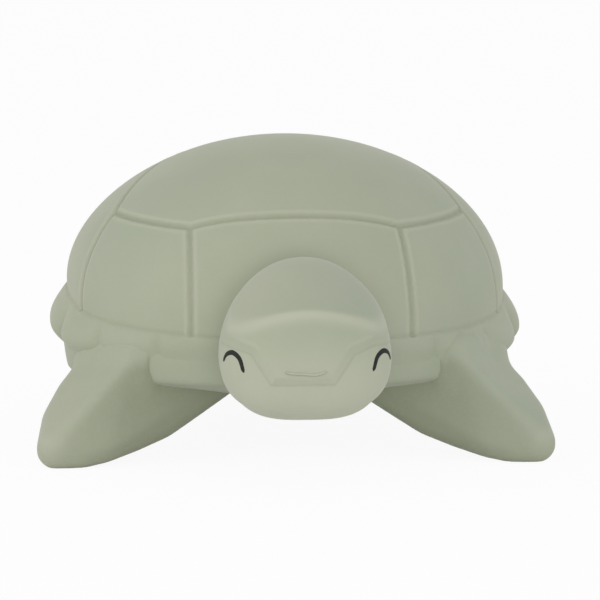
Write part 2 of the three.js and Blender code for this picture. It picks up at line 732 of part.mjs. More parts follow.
const toy = new THREE.Group();
toy.add(piece('upper_shell', upperShell(), sageRubber()));
toy.add(piece('lower_shell', lowerShell(), sageRubber()));
toy.add(piece('belly_plug', bellyPlug(), sageRubber()));
toy.add(piece('head', head(), sageRubber()));
for (const [word, side] of [['left', 1], ['right', -1]]) {
  toy.add(piece(`eye_${word}`, eyeLine(side, EYE_LINE_RADIUS), eyePaint()));
  toy.add(piece(`front_flipper_${word}`, flipper(FRONT_ROOT, FRONT_CORNERS, side), sageRubber()));
  toy.add(piece(`rear_flipper_${word}`, flipper(REAR_ROOT, REAR_CORNERS, side), sageRubber()));
}

// Middle of the whole toy over the origin, feet on the ground
const extent = new THREE.Box3().setFromObject(toy);
toy.position.y = -(extent.min.y + extent.max.y) / 2;

export default toy;
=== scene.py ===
# %% [markdown]
# # A soft rubber turtle for the bath
#
# This lesson dresses the measured model of a hollow sea turtle in natural rubber. The measured solids
# give the sizes and the joints. Here each moulding gets the soft roundings, the worn grooves and the
# chalky finish of the real thing. Everything is in metres, with the nose towards -Y and the feet on the
# ground.

import math

import bmesh
import bpy
import numpy as np
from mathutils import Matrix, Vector
from mathutils.bvhtree import BVHTree


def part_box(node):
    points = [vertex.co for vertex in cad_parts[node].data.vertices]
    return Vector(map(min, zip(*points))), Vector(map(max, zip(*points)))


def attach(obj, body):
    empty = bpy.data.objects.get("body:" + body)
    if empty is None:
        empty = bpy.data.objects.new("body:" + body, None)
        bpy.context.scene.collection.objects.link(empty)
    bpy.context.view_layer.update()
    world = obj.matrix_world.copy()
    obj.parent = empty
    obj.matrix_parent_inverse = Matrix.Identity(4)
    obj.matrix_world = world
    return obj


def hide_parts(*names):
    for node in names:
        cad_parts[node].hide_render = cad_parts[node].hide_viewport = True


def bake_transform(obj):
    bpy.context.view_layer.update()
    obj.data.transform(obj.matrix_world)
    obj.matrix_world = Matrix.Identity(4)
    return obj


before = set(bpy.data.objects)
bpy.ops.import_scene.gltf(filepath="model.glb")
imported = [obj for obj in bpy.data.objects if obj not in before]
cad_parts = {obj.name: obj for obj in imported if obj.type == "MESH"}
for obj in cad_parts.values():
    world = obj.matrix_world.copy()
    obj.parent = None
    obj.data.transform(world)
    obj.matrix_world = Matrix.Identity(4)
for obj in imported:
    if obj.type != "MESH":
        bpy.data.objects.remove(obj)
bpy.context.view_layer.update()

# %% [markdown]
# The solids were drawn in millimetres about the widest place of the shell, and then moved so that the
# whole toy sits over the origin. The plug in the belly lies a known distance behind that widest place,
# so its box tells how far everything was moved. All later pieces use this one number.

# %% Find the widest place of the shell
MM = 0.001
PLUG_BEHIND_MIDDLE = 4 * MM
plug_low, plug_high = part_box("belly_plug")
MIDDLE_Y = (plug_low[1] + plug_high[1]) / 2 - PLUG_BEHIND_MIDDLE
print("widest place of the shell at y =", round(MIDDLE_Y, 5))

# %% [markdown]
# Node trees soon become hard to read when every node and link takes three lines. One small class wraps
# an output socket, so that a sum such as 1 - mask adds its own Math nodes. It works in shader trees and
# in geometry trees, because both know the same Math node.


# %% A socket that can be used in sums
class Wire:
    """One output socket of a node tree."""

    def __init__(self, tree, socket=None):
        self.tree = tree
        self.socket = socket

    def add(self, kind, settings=None, sockets=None, out=0):
        """Adds a node of that type. Settings come first, then the values or links of its sockets."""
        node = self.tree.nodes.new(kind)
        for name, value in (settings or {}).items():
            setattr(node, name, value)
        for key, value in (sockets or {}).items():
            if isinstance(value, Wire):
                self.tree.links.new(value.socket, node.inputs[key])
            else:
                node.inputs[key].default_value = value
        return Wire(self.tree, node.outputs[out])

    def math(self, operation, *numbers):
        return self.add("ShaderNodeMath", {"operation": operation}, dict(enumerate(numbers)))

    def __add__(self, other):
        return self.math("ADD", self, other)

    def __sub__(self, other):
        return self.math("SUBTRACT", self, other)

    def __mul__(self, other):
        return self.math("MULTIPLY", self, other)

    def __truediv__(self, other):
        return self.math("DIVIDE", self, other)

    def __pow__(self, other):
        return self.math("POWER", self, other)

    def __neg__(self):
        return self.math("MULTIPLY", self, -1)

    def __rsub__(self, other):
        return self.math("SUBTRACT", other, self)

    def __rtruediv__(self, other):
        return self.math("DIVIDE", other, self)

    __radd__ = __add__
    __rmul__ = __mul__

    def sine(self):
        return self.math("SINE", self)

    def cosine(self):
        return self.math("COSINE", self)

    def least(self, other):
        return self.math("MINIMUM", self, other)

    def most(self, other):
        return self.math("MAXIMUM", self, other)

    def hump(self, middle, width):
        """One at the middle, falling softly to zero on both sides."""
        away = (self - middle) / width
        return self.math("EXPONENT", -(away * away))

    def eased(self, start, end):
        """Goes softly from 0 to 1 between two values."""
        sockets = {"Value": self, "From Min": start, "From Max": end}
        return self.add("ShaderNodeMapRange", {"interpolation_type": "SMOOTHSTEP"}, sockets)


print("sums on sockets are ready")

# %% [markdown]
# Natural rubber for toys is matt and a little chalky. Its colour is not quite even: the mould leaves
# faint clouds. Object coordinates carry the clouds and the fine grain, because they do not need an
# unwrap. Light and shade are painted into the colour too, by two attributes that each piece stores on
# its own points: one paints shade into the grooves, under steps and in sheltered places, the other makes
# raised edges paler, as wear and painted highlight, and paints light onto brow and jaw.

# %% Sage rubber
SAGE = (0.407, 0.422, 0.314, 1)
SAGE_CLOUD = (0.370, 0.402, 0.292, 1)
SAGE_COOL = (0.392, 0.417, 0.330, 1)
# A paler tone for wear and painted highlight, and a darker one for painted shade.
SAGE_PALE = (0.474, 0.484, 0.374, 1)
SAGE_SHADE = (0.300, 0.318, 0.226, 1)
CLOUD_SCALE = 55
SLOW_CLOUD_SCALE = 24
GRAIN_SCALE = 1400
GRAIN_ROUGHNESS = 0.6


def colour_mix(share, first, second):
    """Goes from the first colour to the second as share goes from 0 to 1."""
    return share.add(
        "ShaderNodeMix",
        {"data_type": "RGBA", "clamp_factor": True},
        {0: share, 6: first, 7: second},
        out=2,
    )


def noise(place, scale, detail, roughness=0.5):
    sockets = {"Vector": place, "Scale": scale, "Detail": detail, "Roughness": roughness}
    return place.add("ShaderNodeTexNoise", sockets=sockets)


def new_material(name):
    material = bpy.data.materials.new(name)
    material.use_nodes = True
    tree = material.node_tree
    shader = tree.nodes["Principled BSDF"]
    return material, tree, shader


def make_sage_rubber():
    material, tree, shader = new_material("sage_rubber")
    start = Wire(tree)
    place = start.add("ShaderNodeTexCoord", out="Object")
    clouds = noise(place, CLOUD_SCALE, 4)
    slow = noise(place, SLOW_CLOUD_SCALE, 2)
    grain = noise(place, GRAIN_SCALE, 3, GRAIN_ROUGHNESS)
    groove = start.add("ShaderNodeAttribute", {"attribute_name": "groove"}, out="Fac")
    worn = start.add("ShaderNodeAttribute", {"attribute_name": "worn"}, out="Fac")
    base = colour_mix((slow - 0.42) * 3, SAGE, SAGE_COOL)
    base = colour_mix((clouds - 0.35) * 2.2, base, SAGE_CLOUD)
    # Paler raised edges are wear and painted highlight, with painted light on brow and jaw; the groove
    # attribute darkens hollows as painted shade.
    base = colour_mix(worn * (0.35 + clouds * 0.6), base, SAGE_PALE)
    base = colour_mix(groove * 0.55, base, SAGE_SHADE)
    base = colour_mix((grain - 0.5) * 0.5, base, SAGE_PALE)
    bump = start.add(
        "ShaderNodeBump",
        sockets={"Strength": 0.12, "Distance": 0.0003, "Height": grain + clouds * 0.5},
    )
    links = tree.links
    links.new(base.socket, shader.inputs["Base Color"])
    links.new((0.62 + clouds * 0.16).socket, shader.inputs["Roughness"])
    links.new(bump.socket, shader.inputs["Normal"])
    shader.inputs["Specular IOR Level"].default_value = 0.3
    shader.inputs["Sheen Weight"].default_value = 0.22
    shader.inputs["Sheen Roughness"].default_value = 0.45
    shader.inputs["Sheen Tint"].default_value = (1.0, 0.95, 0.86, 1)
    return material


sage_rubber = make_sage_rubber()
print("material", sage_rubber.name)

# %% [markdown]
# The eyes are two strokes of dark paint, printed on by pad. The paint is thin, so that the rubber's
# grain shows through as small changes of tone and gloss.

# %% Eye paint
PAINT_DARK = (0.016, 0.017, 0.0145, 1)
PAINT_THIN = (0.036, 0.038, 0.032, 1)
PAINT_GRAIN_SCALE = 2200


def make_eye_paint():
    material, tree, shader = new_material("eye_paint")
    start = Wire(tree)
    place = start.add("ShaderNodeTexCoord", out="Object")
    grain = noise(place, PAINT_GRAIN_SCALE, 3, GRAIN_ROUGHNESS)
    base = colour_mix((grain - 0.4) * 1.6, PAINT_DARK, PAINT_THIN)
    tree.links.new(base.socket, shader.inputs["Base Color"])
    tree.links.new((0.55 + grain * 0.2).socket, shader.inputs["Roughness"])
    shader.inputs["Specular IOR Level"].default_value = 0.2
    return material


eye_paint = make_eye_paint()
print("material", eye_paint.name)

# %% [markdown]
# The shell is a dome on an oval rim. The master of such a toy is carved by hand, so the rim rises
# behind the front flippers, the flanks are drawn in a little and one side stands a hair higher. These
# sizes are shared by the grooves and by the carapace, so that the grooves lie on the dome wherever it
# goes.

# %% Form of the dome
HALF_WIDTH = 46 * MM
FRONT_REACH = 42 * MM
REAR_REACH = 46 * MM
RIM_HEIGHT = 26.1 * MM
DOME_RISE = 35.4 * MM
FULLNESS = 2.03
HIP_RISE = 3.8 * MM
HIP_BEHIND = 0.15
HIP_SPREAD = 0.4
FLANK_RISE = 0.8 * MM
FLANK_PINCH = 1.2 * MM
LEAN = 0.7 * MM


def on_dome(across, along):
    """A place on the dome, from shares of the half width and of the front or rear reach."""
    reach = FRONT_REACH if along < 0 else REAR_REACH
    out = min(1.0, max(0.01, math.hypot(across, along)))
    up = (1 - out**FULLNESS) ** (1 / FULLNESS)
    sine = across / out
    behind = (along / out - HIP_BEHIND) / HIP_SPREAD
    rise = HIP_RISE * math.exp(-behind * behind) + FLANK_RISE * sine**2 - LEAN * sine
    pinch = FLANK_PINCH * abs(sine) ** 3 * (1 - up) ** 2
    slim = 1 - pinch / (out * HALF_WIDTH)
    height = RIM_HEIGHT + DOME_RISE * up + rise * (1 - up) ** 2
    return (across * HALF_WIDTH * slim, MIDDLE_Y + along * reach * slim, height)


print("top of the dome:", round(on_dome(0, 0)[2], 4), "m")

# %% [markdown]
# The grooves between the big scutes could be cut out with solids, but a cut has hard edges. Here they
# are only lines of points on the dome, and the carapace measures its distance to them. The corners are
# shares of the shell's half width and of its front or rear reach. Near the top a groove runs straight,
# further out it runs round the dome, and the one behind the head bows a little towards the top.

# %% Lines of the scute grooves
FRONT_CORNER = (0.456, -0.683)
WIDE_CORNER = (0.772, -0.249)
WAIST_CORNER = (0.413, 0.283)
REAR_CORNER = (0.565, 0.565)
TAIL_CORNER = (0.196, 0.783)
FRONT_RIM_DEGREES = {-1: 27.4, 1: 30}
FLANK_RIM_DEGREES = 70
HIP_RIM_DEGREES = 132
TAIL_RIM_DEGREES = 166
LINE_STEPS = 40
RING_OUT = 0.6
FRONT_BOW = 0.073


def rim_share(degrees):
    """The place on the rim at a bearing from the nose."""
    bearing = math.radians(degrees)
    return (math.sin(bearing), -math.cos(bearing))


def groove_segments():
    """Starts and ends of the grooves in plan, and how far each bows towards the top of the dome."""
    across = ((FRONT_CORNER, FRONT_BOW), (WAIST_CORNER, 0), (TAIL_CORNER, 0))
    segments = [((-x, y), (x, y), bow) for (x, y), bow in across]
    for side in (-1, 1):
        one_side = [
            (FRONT_CORNER, WIDE_CORNER),
            (WIDE_CORNER, WAIST_CORNER),
            (WAIST_CORNER, REAR_CORNER),
            (REAR_CORNER, TAIL_CORNER),
            (FRONT_CORNER, rim_share(FRONT_RIM_DEGREES[side])),
            (WIDE_CORNER, rim_share(FLANK_RIM_DEGREES)),
            (REAR_CORNER, rim_share(HIP_RIM_DEGREES)),
            (TAIL_CORNER, rim_share(TAIL_RIM_DEGREES)),
        ]
        segments += [((side * a[0], a[1]), (side * b[0], b[1]), 0) for a, b in one_side]
    return segments


def between(start, end, bow, share):
    """A place on a groove in plan: straight near the top of the dome, and round the dome far out."""
    across = start[0] + (end[0] - start[0]) * share
    along = start[1] + (end[1] - start[1]) * share
    start_out = math.hypot(*start)
    end_out = math.hypot(*end)
    if min(start_out, end_out) < RING_OUT:
        return across, along
    out = (start_out + (end_out - start_out) * share) * (1 - 4 * bow * share * (1 - share))
    grow = out / math.hypot(across, along)
    return across * grow, along * grow


def linked(name, data):
    """A new object in the scene."""
    thing = bpy.data.objects.new(name, data)
    bpy.context.scene.collection.objects.link(thing)
    return thing


def groove_lines():
    points, edges = [], []
    for start, end, bow in groove_segments():
        first = len(points)
        for step in range(LINE_STEPS + 1):
            share = math.sin(step / LINE_STEPS * math.pi / 2)
            points.append(on_dome(*between(start, end, bow, share)))
        edges += [(first + i, first + i + 1) for i in range(LINE_STEPS)]
    mesh = bpy.data.meshes.new("groove_lines")
    mesh.from_pydata(points, edges, [])
    return linked("groove_lines", mesh)


scute_lines = groove_lines()
print("groove lines:", len(groove_segments()), "segments")

# %% [markdown]
# The carapace follows a rule, so it is a Geometry Nodes tree. Its sizes are named inputs of the tree,
# because then the same tree can be tried with other values by hand. The band below the rim hangs lower
# at the flanks than at the nose and the tail, and it is divided into soft marginal scutes.

# %% Sizes of the carapace
CARAPACE_SIZES = {
    "Middle Y": MIDDLE_Y,
    "Half Width": HALF_WIDTH,
    "Front Reach": FRONT_REACH,
    "Rear Reach": REAR_REACH,
    "Rim Height": RIM_HEIGHT,
    "Dome Rise": DOME_RISE,
    "Fullness": FULLNESS,
    "Scutes": 18.0,
    "Scute Crowding": math.radians(-3),
    "Band Drop End": 4.6 * MM,
    "Band Drop Flank": 9.5 * MM,
    "Band Skirt": 1.2 * MM,
    "Band Flare": 2.4 * MM,
    "Band Lobe": 1.2 * MM,
    "Wall Inset": 1.2 * MM,
    "Rim Groove": 0.22 * MM,
    "Scute Split": 0.3 * MM,
    "Hip Rise": HIP_RISE,
    "Flank Rise": FLANK_RISE,
    "Flank Pinch": FLANK_PINCH,
    "Lean": LEAN,
    "Groove Depth": 0.55 * MM,
    "Groove Width": 0.5 * MM,
    "Groove Lip": 0.1 * MM,
    "Edge Roll": 0.12 * MM,
    "Seed": 3.0,
}


def open_tree(name, sizes, objects=()):
    """A geometry tree with named inputs, and these inputs as wires."""
    tree = bpy.data.node_groups.new(name, "GeometryNodeTree")
    tree.interface.new_socket("Geometry", in_out="OUTPUT", socket_type="NodeSocketGeometry")
    for label in sizes:
        tree.interface.new_socket(label, in_out="INPUT", socket_type="NodeSocketFloat")
    for label in objects:
        tree.interface.new_socket(label, in_out="INPUT", socket_type="NodeSocketObject")
    entry = tree.nodes.new("NodeGroupInput")
    wires = {label: Wire(tree, entry.outputs[label]) for label in (*sizes, *objects)}
    return tree, wires


print("carapace inputs:", len(CARAPACE_SIZES))

# %% [markdown]
# A flat grid is bent round into the dome and the band below it. One direction of the grid is the
# bearing from the nose, the other runs from the top of the dome down over the rim and under the band.
# The band is a bead with a line above it and splits between its scutes. It is nearly flat beside the
# head and full at the flanks, so most of its numbers are pairs: one for the ends of the shell and one
# for its flanks.

# %% Dome and band
DOME_SHARE = 0.74
FLANK_POWER = 1.5
LOBE_POWER = 4
SPLIT_POWER = 20
BEAD_STAND = (0.06, 1)
BEAD_HANG = (0.6, 1.25)
BEAD_POWER = (1.5, 0.8)
INSET_START = (0.3, 0.6)
INSET_SHARE = (0.25, 1)
UNDER_START = 0.93
UNDER_DEPTH = 2 * MM
LINE_DROP = 0.2 * MM
LINE_WIDTH = 0.3 * MM
# Painted shade on the splits between the marginal scutes and on the line under the rim.
SPLIT_SHADE = 0.5
LINE_SHADE = 0.4


def end_to_flank(pair, flank):
    """A number that changes from the ends of the shell to its flanks."""
    return pair[0] + flank * (pair[1] - pair[0])


def grid_shares(start):
    """The even bearing of each grid point and its share of the way down."""
    flat = start.add("GeometryNodeInputPosition")
    parts = start.tree.nodes.new("ShaderNodeSeparateXYZ")
    start.tree.links.new(flat.socket, parts.inputs[0])
    even = Wire(start.tree, parts.outputs[0]) * (2 * math.pi)
    down = 0.5 - Wire(start.tree, parts.outputs[1])
    return even, down


def band_bead(size, even, flank, band, drop):
    """How far the band stands out from the rim, and the painted shade of its line and its splits."""
    ridge = (even * size["Scutes"] / 2).cosine()
    lobe = 1 - (ridge * ridge) ** LOBE_POWER
    bead = (band ** end_to_flank(BEAD_HANG, flank) * math.pi).sine().most(0)
    bead = bead ** end_to_flank(BEAD_POWER, flank)
    split = (ridge * ridge) ** SPLIT_POWER * bead
    line = drop.hump(LINE_DROP, LINE_WIDTH) * band.eased(0, 0.01)
    swell = (size["Band Flare"] + size["Band Lobe"] * lobe) * end_to_flank(BEAD_STAND, flank) * bead
    swell = swell - size["Scute Split"] * split - size["Rim Groove"] * line
    inset = band.eased(end_to_flank(INSET_START, flank), 1) * end_to_flank(INSET_SHARE, flank)
    under = band.eased(UNDER_START, 1) * UNDER_DEPTH
    return swell - inset * size["Wall Inset"] - under, split * SPLIT_SHADE + line * LINE_SHADE


def dome_and_band(start, size):
    """Place of each grid point on the shell, its share of the way down the band, and the painted shade
    of its lines.
    """
    even, down = grid_shares(start)
    bearing = even + size["Scute Crowding"] * (even * 2).sine()
    turn = (down / DOME_SHARE).least(1) * (math.pi / 2)
    power = 2 / size["Fullness"]
    out_share = turn.sine().most(0) ** power
    up_share = turn.cosine().most(0) ** power
    near_rim = (1 - up_share) ** 2
    band = (down - DOME_SHARE).most(0) / (1 - DOME_SHARE)
    flank = (bearing.sine() * bearing.sine()) ** FLANK_POWER
    height = size["Band Drop End"] + (size["Band Drop Flank"] - size["Band Drop End"]) * flank
    drop = band * (height + size["Band Skirt"] * (1 + flank))
    bead, dusty = band_bead(size, even, flank, band, drop)
    out = size["Half Width"] * out_share + bead - size["Flank Pinch"] * flank * near_rim
    ahead = bearing.cosine()
    front = ahead.most(0) * size["Front Reach"]
    rear = (-ahead).most(0) * size["Rear Reach"]
    rise = size["Hip Rise"] * (-ahead).hump(HIP_BEHIND, HIP_SPREAD)
    rise = rise + size["Flank Rise"] * bearing.sine() ** 2 - size["Lean"] * bearing.sine()
    x = out * bearing.sine()
    y = size["Middle Y"] + out / size["Half Width"] * (rear - front)
    z = size["Rim Height"] + size["Dome Rise"] * up_share + rise * near_rim - drop
    place = start.add("ShaderNodeCombineXYZ", sockets={0: x, 1: y, 2: z})
    return place, band, dusty


print("rule of the dome and its band is ready")

# %% [markdown]
# The distance to the groove lines presses the grooves in, raises a faint lip beside them and rolls the
# edges of the scutes. Two noises with a fixed seed keep the grooves from looking machined: a fine one
# crumbles their edges, a slow one changes their depth. The grooves are stored for the rubber as painted
# shade, and the lips as wear and painted highlight.

# %% Grooves and the whole tree
ROWS = 190
COLUMNS = 512
CRUMBLE_SCALE = 900
PATCH_SCALE = 60
LIP_AWAY = 2.1
LIP_WIDTH = 0.8
ROLL_WIDTH = 4
BAND_FADE = 6
DOUBLES = 1e-6


def stored(mesh, name, value):
    settings = {"data_type": "FLOAT", "domain": "POINT"}
    return mesh.add("GeometryNodeStoreNamedAttribute", settings, {0: mesh, "Name": name, "Value": value})


def seeded_noise(place, seed, scale, detail):
    sockets = {"Vector": place, "W": seed, "Scale": scale, "Detail": detail}
    return place.add("ShaderNodeTexNoise", {"noise_dimensions": "4D"}, sockets)


def pressed_grooves(mesh, size):
    """Presses the scute grooves into the dome and stores where they are."""
    lines = mesh.add("GeometryNodeObjectInfo", sockets={0: size["Groove Lines"]}, out="Geometry")
    near = mesh.add("GeometryNodeProximity", {"target_element": "EDGES"}, {0: lines}, out="Distance")
    place = mesh.add("GeometryNodeInputPosition")
    band = mesh.add("GeometryNodeInputNamedAttribute", {"data_type": "FLOAT"}, {"Name": "band"})
    dusty = mesh.add("GeometryNodeInputNamedAttribute", {"data_type": "FLOAT"}, {"Name": "dusty"})
    on_top = 1 - (band * BAND_FADE).least(1)
    crumble = seeded_noise(place, size["Seed"], CRUMBLE_SCALE, 2)
    patchy = seeded_noise(place, size["Seed"], PATCH_SCALE, 1)
    width = size["Groove Width"]
    away = (near + (crumble - 0.5) * width * 0.8).most(0)
    trench = away.hump(0, width) * on_top
    lip = (away - width * LIP_AWAY).hump(0, width * LIP_WIDTH) * on_top
    roll = mesh.math("EXPONENT", -(near / (width * ROLL_WIDTH))) * on_top
    depth = size["Groove Depth"] * (0.45 + patchy * 1.1)
    push = lip * size["Groove Lip"] - trench * depth - roll * size["Edge Roll"]
    normal = mesh.add("GeometryNodeInputNormal")
    offset = mesh.add("ShaderNodeVectorMath", {"operation": "SCALE"}, {0: normal, "Scale": push})
    # The grooves are painted shade, the lips are wear and painted highlight.
    mesh = stored(mesh, "groove", trench + dusty)
    mesh = stored(mesh, "worn", lip)
    return mesh.add("GeometryNodeSetPosition", sockets={0: mesh, "Offset": offset})


def carapace_tree():
    tree, size = open_tree("carapace", CARAPACE_SIZES, ["Groove Lines"])
    start = Wire(tree)
    grid_sizes = {"Size X": 1, "Size Y": 1, "Vertices X": COLUMNS + 1, "Vertices Y": ROWS + 1}
    mesh = start.add("GeometryNodeMeshGrid", sockets=grid_sizes)
    place, band, dusty = dome_and_band(start, size)
    mesh = stored(mesh, "band", band)
    mesh = stored(mesh, "dusty", dusty)
    mesh = mesh.add("GeometryNodeSetPosition", sockets={0: mesh, "Position": place})
    mesh = mesh.add("GeometryNodeMergeByDistance", sockets={0: mesh, "Distance": DOUBLES})
    mesh = pressed_grooves(mesh, size)
    mesh = mesh.add("GeometryNodeSetShadeSmooth", sockets={0: mesh})
    mesh = mesh.add("GeometryNodeRealizeInstances", sockets={0: mesh})
    mesh = mesh.add("GeometryNodeSetMaterial", sockets={0: mesh, "Material": sage_rubber})
    exit_node = tree.nodes.new("NodeGroupOutput")
    tree.links.new(mesh.socket, exit_node.inputs[0])
    return tree


shell_tree = carapace_tree()
print("carapace tree:", len(shell_tree.nodes), "nodes")

# %% [markdown]
# A tree makes its mesh only while it hangs on an object as a modifier. The inputs are set by each
# socket's identifier before the object is first evaluated. Then the result is copied into a plain mesh,
# which is what rides on the shell's body in place of the measured solid.


# %% Make the carapace
def made_by(tree, name, values):
    """Runs a geometry tree once and returns its result as a plain object."""
    carrier = linked(name, bpy.data.meshes.new(name + "_carrier"))
    modifier = carrier.modifiers.new("tree", "NODES")
    modifier.node_group = tree
    for item in tree.interface.items_tree:
        if item.in_out == "INPUT":
            modifier[item.identifier] = values[item.name]
    depsgraph = bpy.context.evaluated_depsgraph_get()
    mesh = bpy.data.meshes.new_from_object(carrier.evaluated_get(depsgraph))
    carrier.modifiers.remove(modifier)
    carrier.data = mesh
    mesh.name = name
    return carrier


carapace = made_by(shell_tree, "carapace", {**CARAPACE_SIZES, "Groove Lines": scute_lines})
bpy.data.objects.remove(scute_lines)
print("carapace:", len(carapace.data.polygons), "faces")

# %% [markdown]
# The other pieces start as plain lumps: points and faces, or the skin round a few balls. A voxel remesh
# grows lumps together and a little smoothing takes the steps off. Each modifier is applied at once,
# because the finished piece has to be a plain mesh.


# %% Plain lumps
def new_object(name, points, faces):
    mesh = bpy.data.meshes.new(name)
    mesh.from_pydata([tuple(point) for point in points], [], [tuple(face) for face in faces])
    mesh.update()
    return linked(name, mesh)


def smooth_faces(lump, material):
    lump.data.materials.clear()
    lump.data.materials.append(material)
    lump.data.polygons.foreach_set("use_smooth", [True] * len(lump.data.polygons))


def applied(lump, kind, **settings):
    """Adds a modifier, makes its result the object's own mesh and removes it."""
    modifier = lump.modifiers.new(kind.lower(), kind)
    for name, value in settings.items():
        setattr(modifier, name, value)
    depsgraph = bpy.context.evaluated_depsgraph_get()
    mesh = bpy.data.meshes.new_from_object(lump.evaluated_get(depsgraph))
    lump.modifiers.remove(modifier)
    lump.data = mesh
    return lump


def hull_of_balls(name, balls):
    """The tightest skin round a set of balls, each a centre and a radius."""
    mesh = bmesh.new()
    for centre, radius in balls:
        made = bmesh.ops.create_icosphere(mesh, subdivisions=4, radius=radius)
        bmesh.ops.translate(mesh, verts=made["verts"], vec=Vector(centre))
    bmesh.ops.convex_hull(mesh, input=mesh.verts)
    loose = [vert for vert in mesh.verts if not vert.link_faces]
    bmesh.ops.delete(mesh, geom=loose, context="VERTS")
    lump = new_object(name, [], [])
    mesh.to_mesh(lump.data)
    mesh.free()
    return lump


def softened(lump, voxel, rounds):
    """Gives a lump one even skin of sage rubber, with the steps taken off."""
    applied(lump, "REMESH", mode="VOXEL", voxel_size=voxel)
    applied(lump, "SMOOTH", factor=0.5, iterations=rounds)
    smooth_faces(lump, sage_rubber)


def joined(name, lumps):
    """One object with the meshes of several, which are removed."""
    mesh = bmesh.new()
    for lump in lumps:
        mesh.from_mesh(lump.data)
        bpy.data.objects.remove(lump)
    whole = new_object(name, [], [])
    mesh.to_mesh(whole.data)
    mesh.free()
    return whole


print("helpers for plain lumps are ready")

# %% [markdown]
# Under the band hangs the belly tub, with a short tail. Its wall stands nearly upright down to a firm
# edge and then turns in under the toy to a flat belly. It is a profile turned about the upright axis
# and drawn out to the shell's oval. A Screw modifier could turn it too, but not to an egg shape that is
# longer behind.

# %% Turning a profile
CORNER_NEAR = 0.75


def corner_cut(points, rounds):
    """Rounds a chain of points by cutting its corners again and again."""
    points = np.array(points, float)
    for _ in range(rounds):
        near = points[:-1] * CORNER_NEAR + points[1:] * (1 - CORNER_NEAR)
        far = points[:-1] * (1 - CORNER_NEAR) + points[1:] * CORNER_NEAR
        middle = np.stack([near, far], axis=1).reshape(-1, 2)
        points = np.concatenate([points[:1], middle, points[-1:]])
    return points


def tube_faces(rows, columns):
    """The faces between rings of points, with both ends closed."""
    faces = []
    for low in range(0, (rows - 1) * columns, columns):
        for i in range(columns):
            j = (i + 1) % columns
            faces.append((low + i, low + j, low + columns + j, low + columns + i))
    faces.append(list(range(columns))[::-1])
    faces.append(list(range((rows - 1) * columns, rows * columns)))
    return faces


def turned(name, profile, columns, middle_y, front=1.0, rear=1.0):
    """Turns a profile of (half width, height) about an upright axis, stretched to front and rear."""
    angles = np.arange(columns) / columns * 2 * math.pi
    stretch = np.where(np.cos(angles) > 0, front, rear)
    points = []
    for out, height in profile:
        across = out * np.sin(angles)
        along = middle_y - out * np.cos(angles) * stretch
        points.extend(np.stack([across, along, np.full(columns, height)], axis=1))
    return new_object(name, points, tube_faces(len(profile), columns))


print("turning a profile is ready")

# %% [markdown]
# The edge of the tub drops at the flanks, where the band hangs lower. The tail is a tapered finger that
# a voxel remesh grows together with the tub, because a real moulding has a soft fillet there.

# %% Belly tub and tail
TUB_PROFILE = [
    (2.0, 11.5),
    (24.0, 11.5),
    (27.0, 11.7),
    (37.0, 14.2),
    (43.8, 15.9),
    (44.9, 16.5),
    (45.0, 17.4),
    (45.8, 21.5),
    (45.8, 24.7),
    (2.0, 24.7),
]
TUB_COLUMNS = 256
TUB_VOXEL = 0.7 * MM
TUB_SMOOTHING = 6
FLANK_DROP = 2.2 * MM
DROP_FROM = 11.6 * MM
DROP_FULL_AFTER = 4 * MM
DROP_UP_TO = 24 * MM
DROP_FADES_OVER = 6 * MM
TAIL_ROOT = (0, MIDDLE_Y + 39.6 * MM, 15.5 * MM)
TAIL_TIP = (0, MIDDLE_Y + 48.6 * MM, 12.5 * MM)
TAIL_ROOT_RADIUS = 5 * MM
TAIL_TIP_RADIUS = 2.2 * MM


def skin(lump):
    """Places and outward directions of an object's points."""
    place = np.empty(len(lump.data.vertices) * 3)
    normal = np.empty_like(place)
    lump.data.vertices.foreach_get("co", place)
    lump.data.vertex_normals.foreach_get("vector", normal)
    return place.reshape(-1, 3), normal.reshape(-1, 3)


def eased(share):
    """Goes softly from 0 to 1."""
    share = np.clip(share, 0, 1)
    return share * share * (3 - 2 * share)


def lower_flanks(tub):
    place, _ = skin(tub)
    across = place[:, 0] ** 2
    along = (place[:, 1] - MIDDLE_Y) ** 2
    flank = (across / (across + along)) ** 2
    height = place[:, 2].copy()
    low = eased((height - DROP_FROM) / DROP_FULL_AFTER)
    high = eased((DROP_UP_TO - height) / DROP_FADES_OVER)
    place[:, 2] -= FLANK_DROP * flank * low * high
    tub.data.vertices.foreach_set("co", place.ravel())


def make_belly_tub():
    profile = corner_cut(np.array(TUB_PROFILE) * MM, 2)
    front = FRONT_REACH / HALF_WIDTH
    rear = REAR_REACH / HALF_WIDTH
    tub = turned("tub_turning", profile, TUB_COLUMNS, MIDDLE_Y, front, rear)
    lower_flanks(tub)
    tail_balls = [(TAIL_ROOT, TAIL_ROOT_RADIUS), (TAIL_TIP, TAIL_TIP_RADIUS)]
    tail = hull_of_balls("tail_finger", tail_balls)
    whole = joined("belly_tub", [tub, tail])
    softened(whole, TUB_VOXEL, TUB_SMOOTHING)
    return whole


belly_tub = make_belly_tub()
print("belly tub:", len(belly_tub.data.polygons), "faces")

# %% [markdown]
# The mould's filling hole in the belly is closed with a flat plug. Only its slightly domed disc shows,
# with a thin line round it. It stands a hair proud of the belly, so that it reads as a piece of its
# own.

# %% Belly plug
PLUG_DISC = [(0.2, -0.55), (3.0, -0.5), (5.2, -0.32), (5.8, -0.05), (6.0, 0.5), (6.0, 1.0), (0.2, 1.0)]
PLUG_COLUMNS = 96
BELLY_HEIGHT = 11.5 * MM

plug_profile = corner_cut(np.array(PLUG_DISC) * MM, 2) + (0, BELLY_HEIGHT)
plug = turned("belly_plug_disc", plug_profile, PLUG_COLUMNS, MIDDLE_Y + PLUG_BEHIND_MIDDLE)
smooth_faces(plug, sage_rubber)
print("belly plug:", len(plug.data.polygons), "faces")

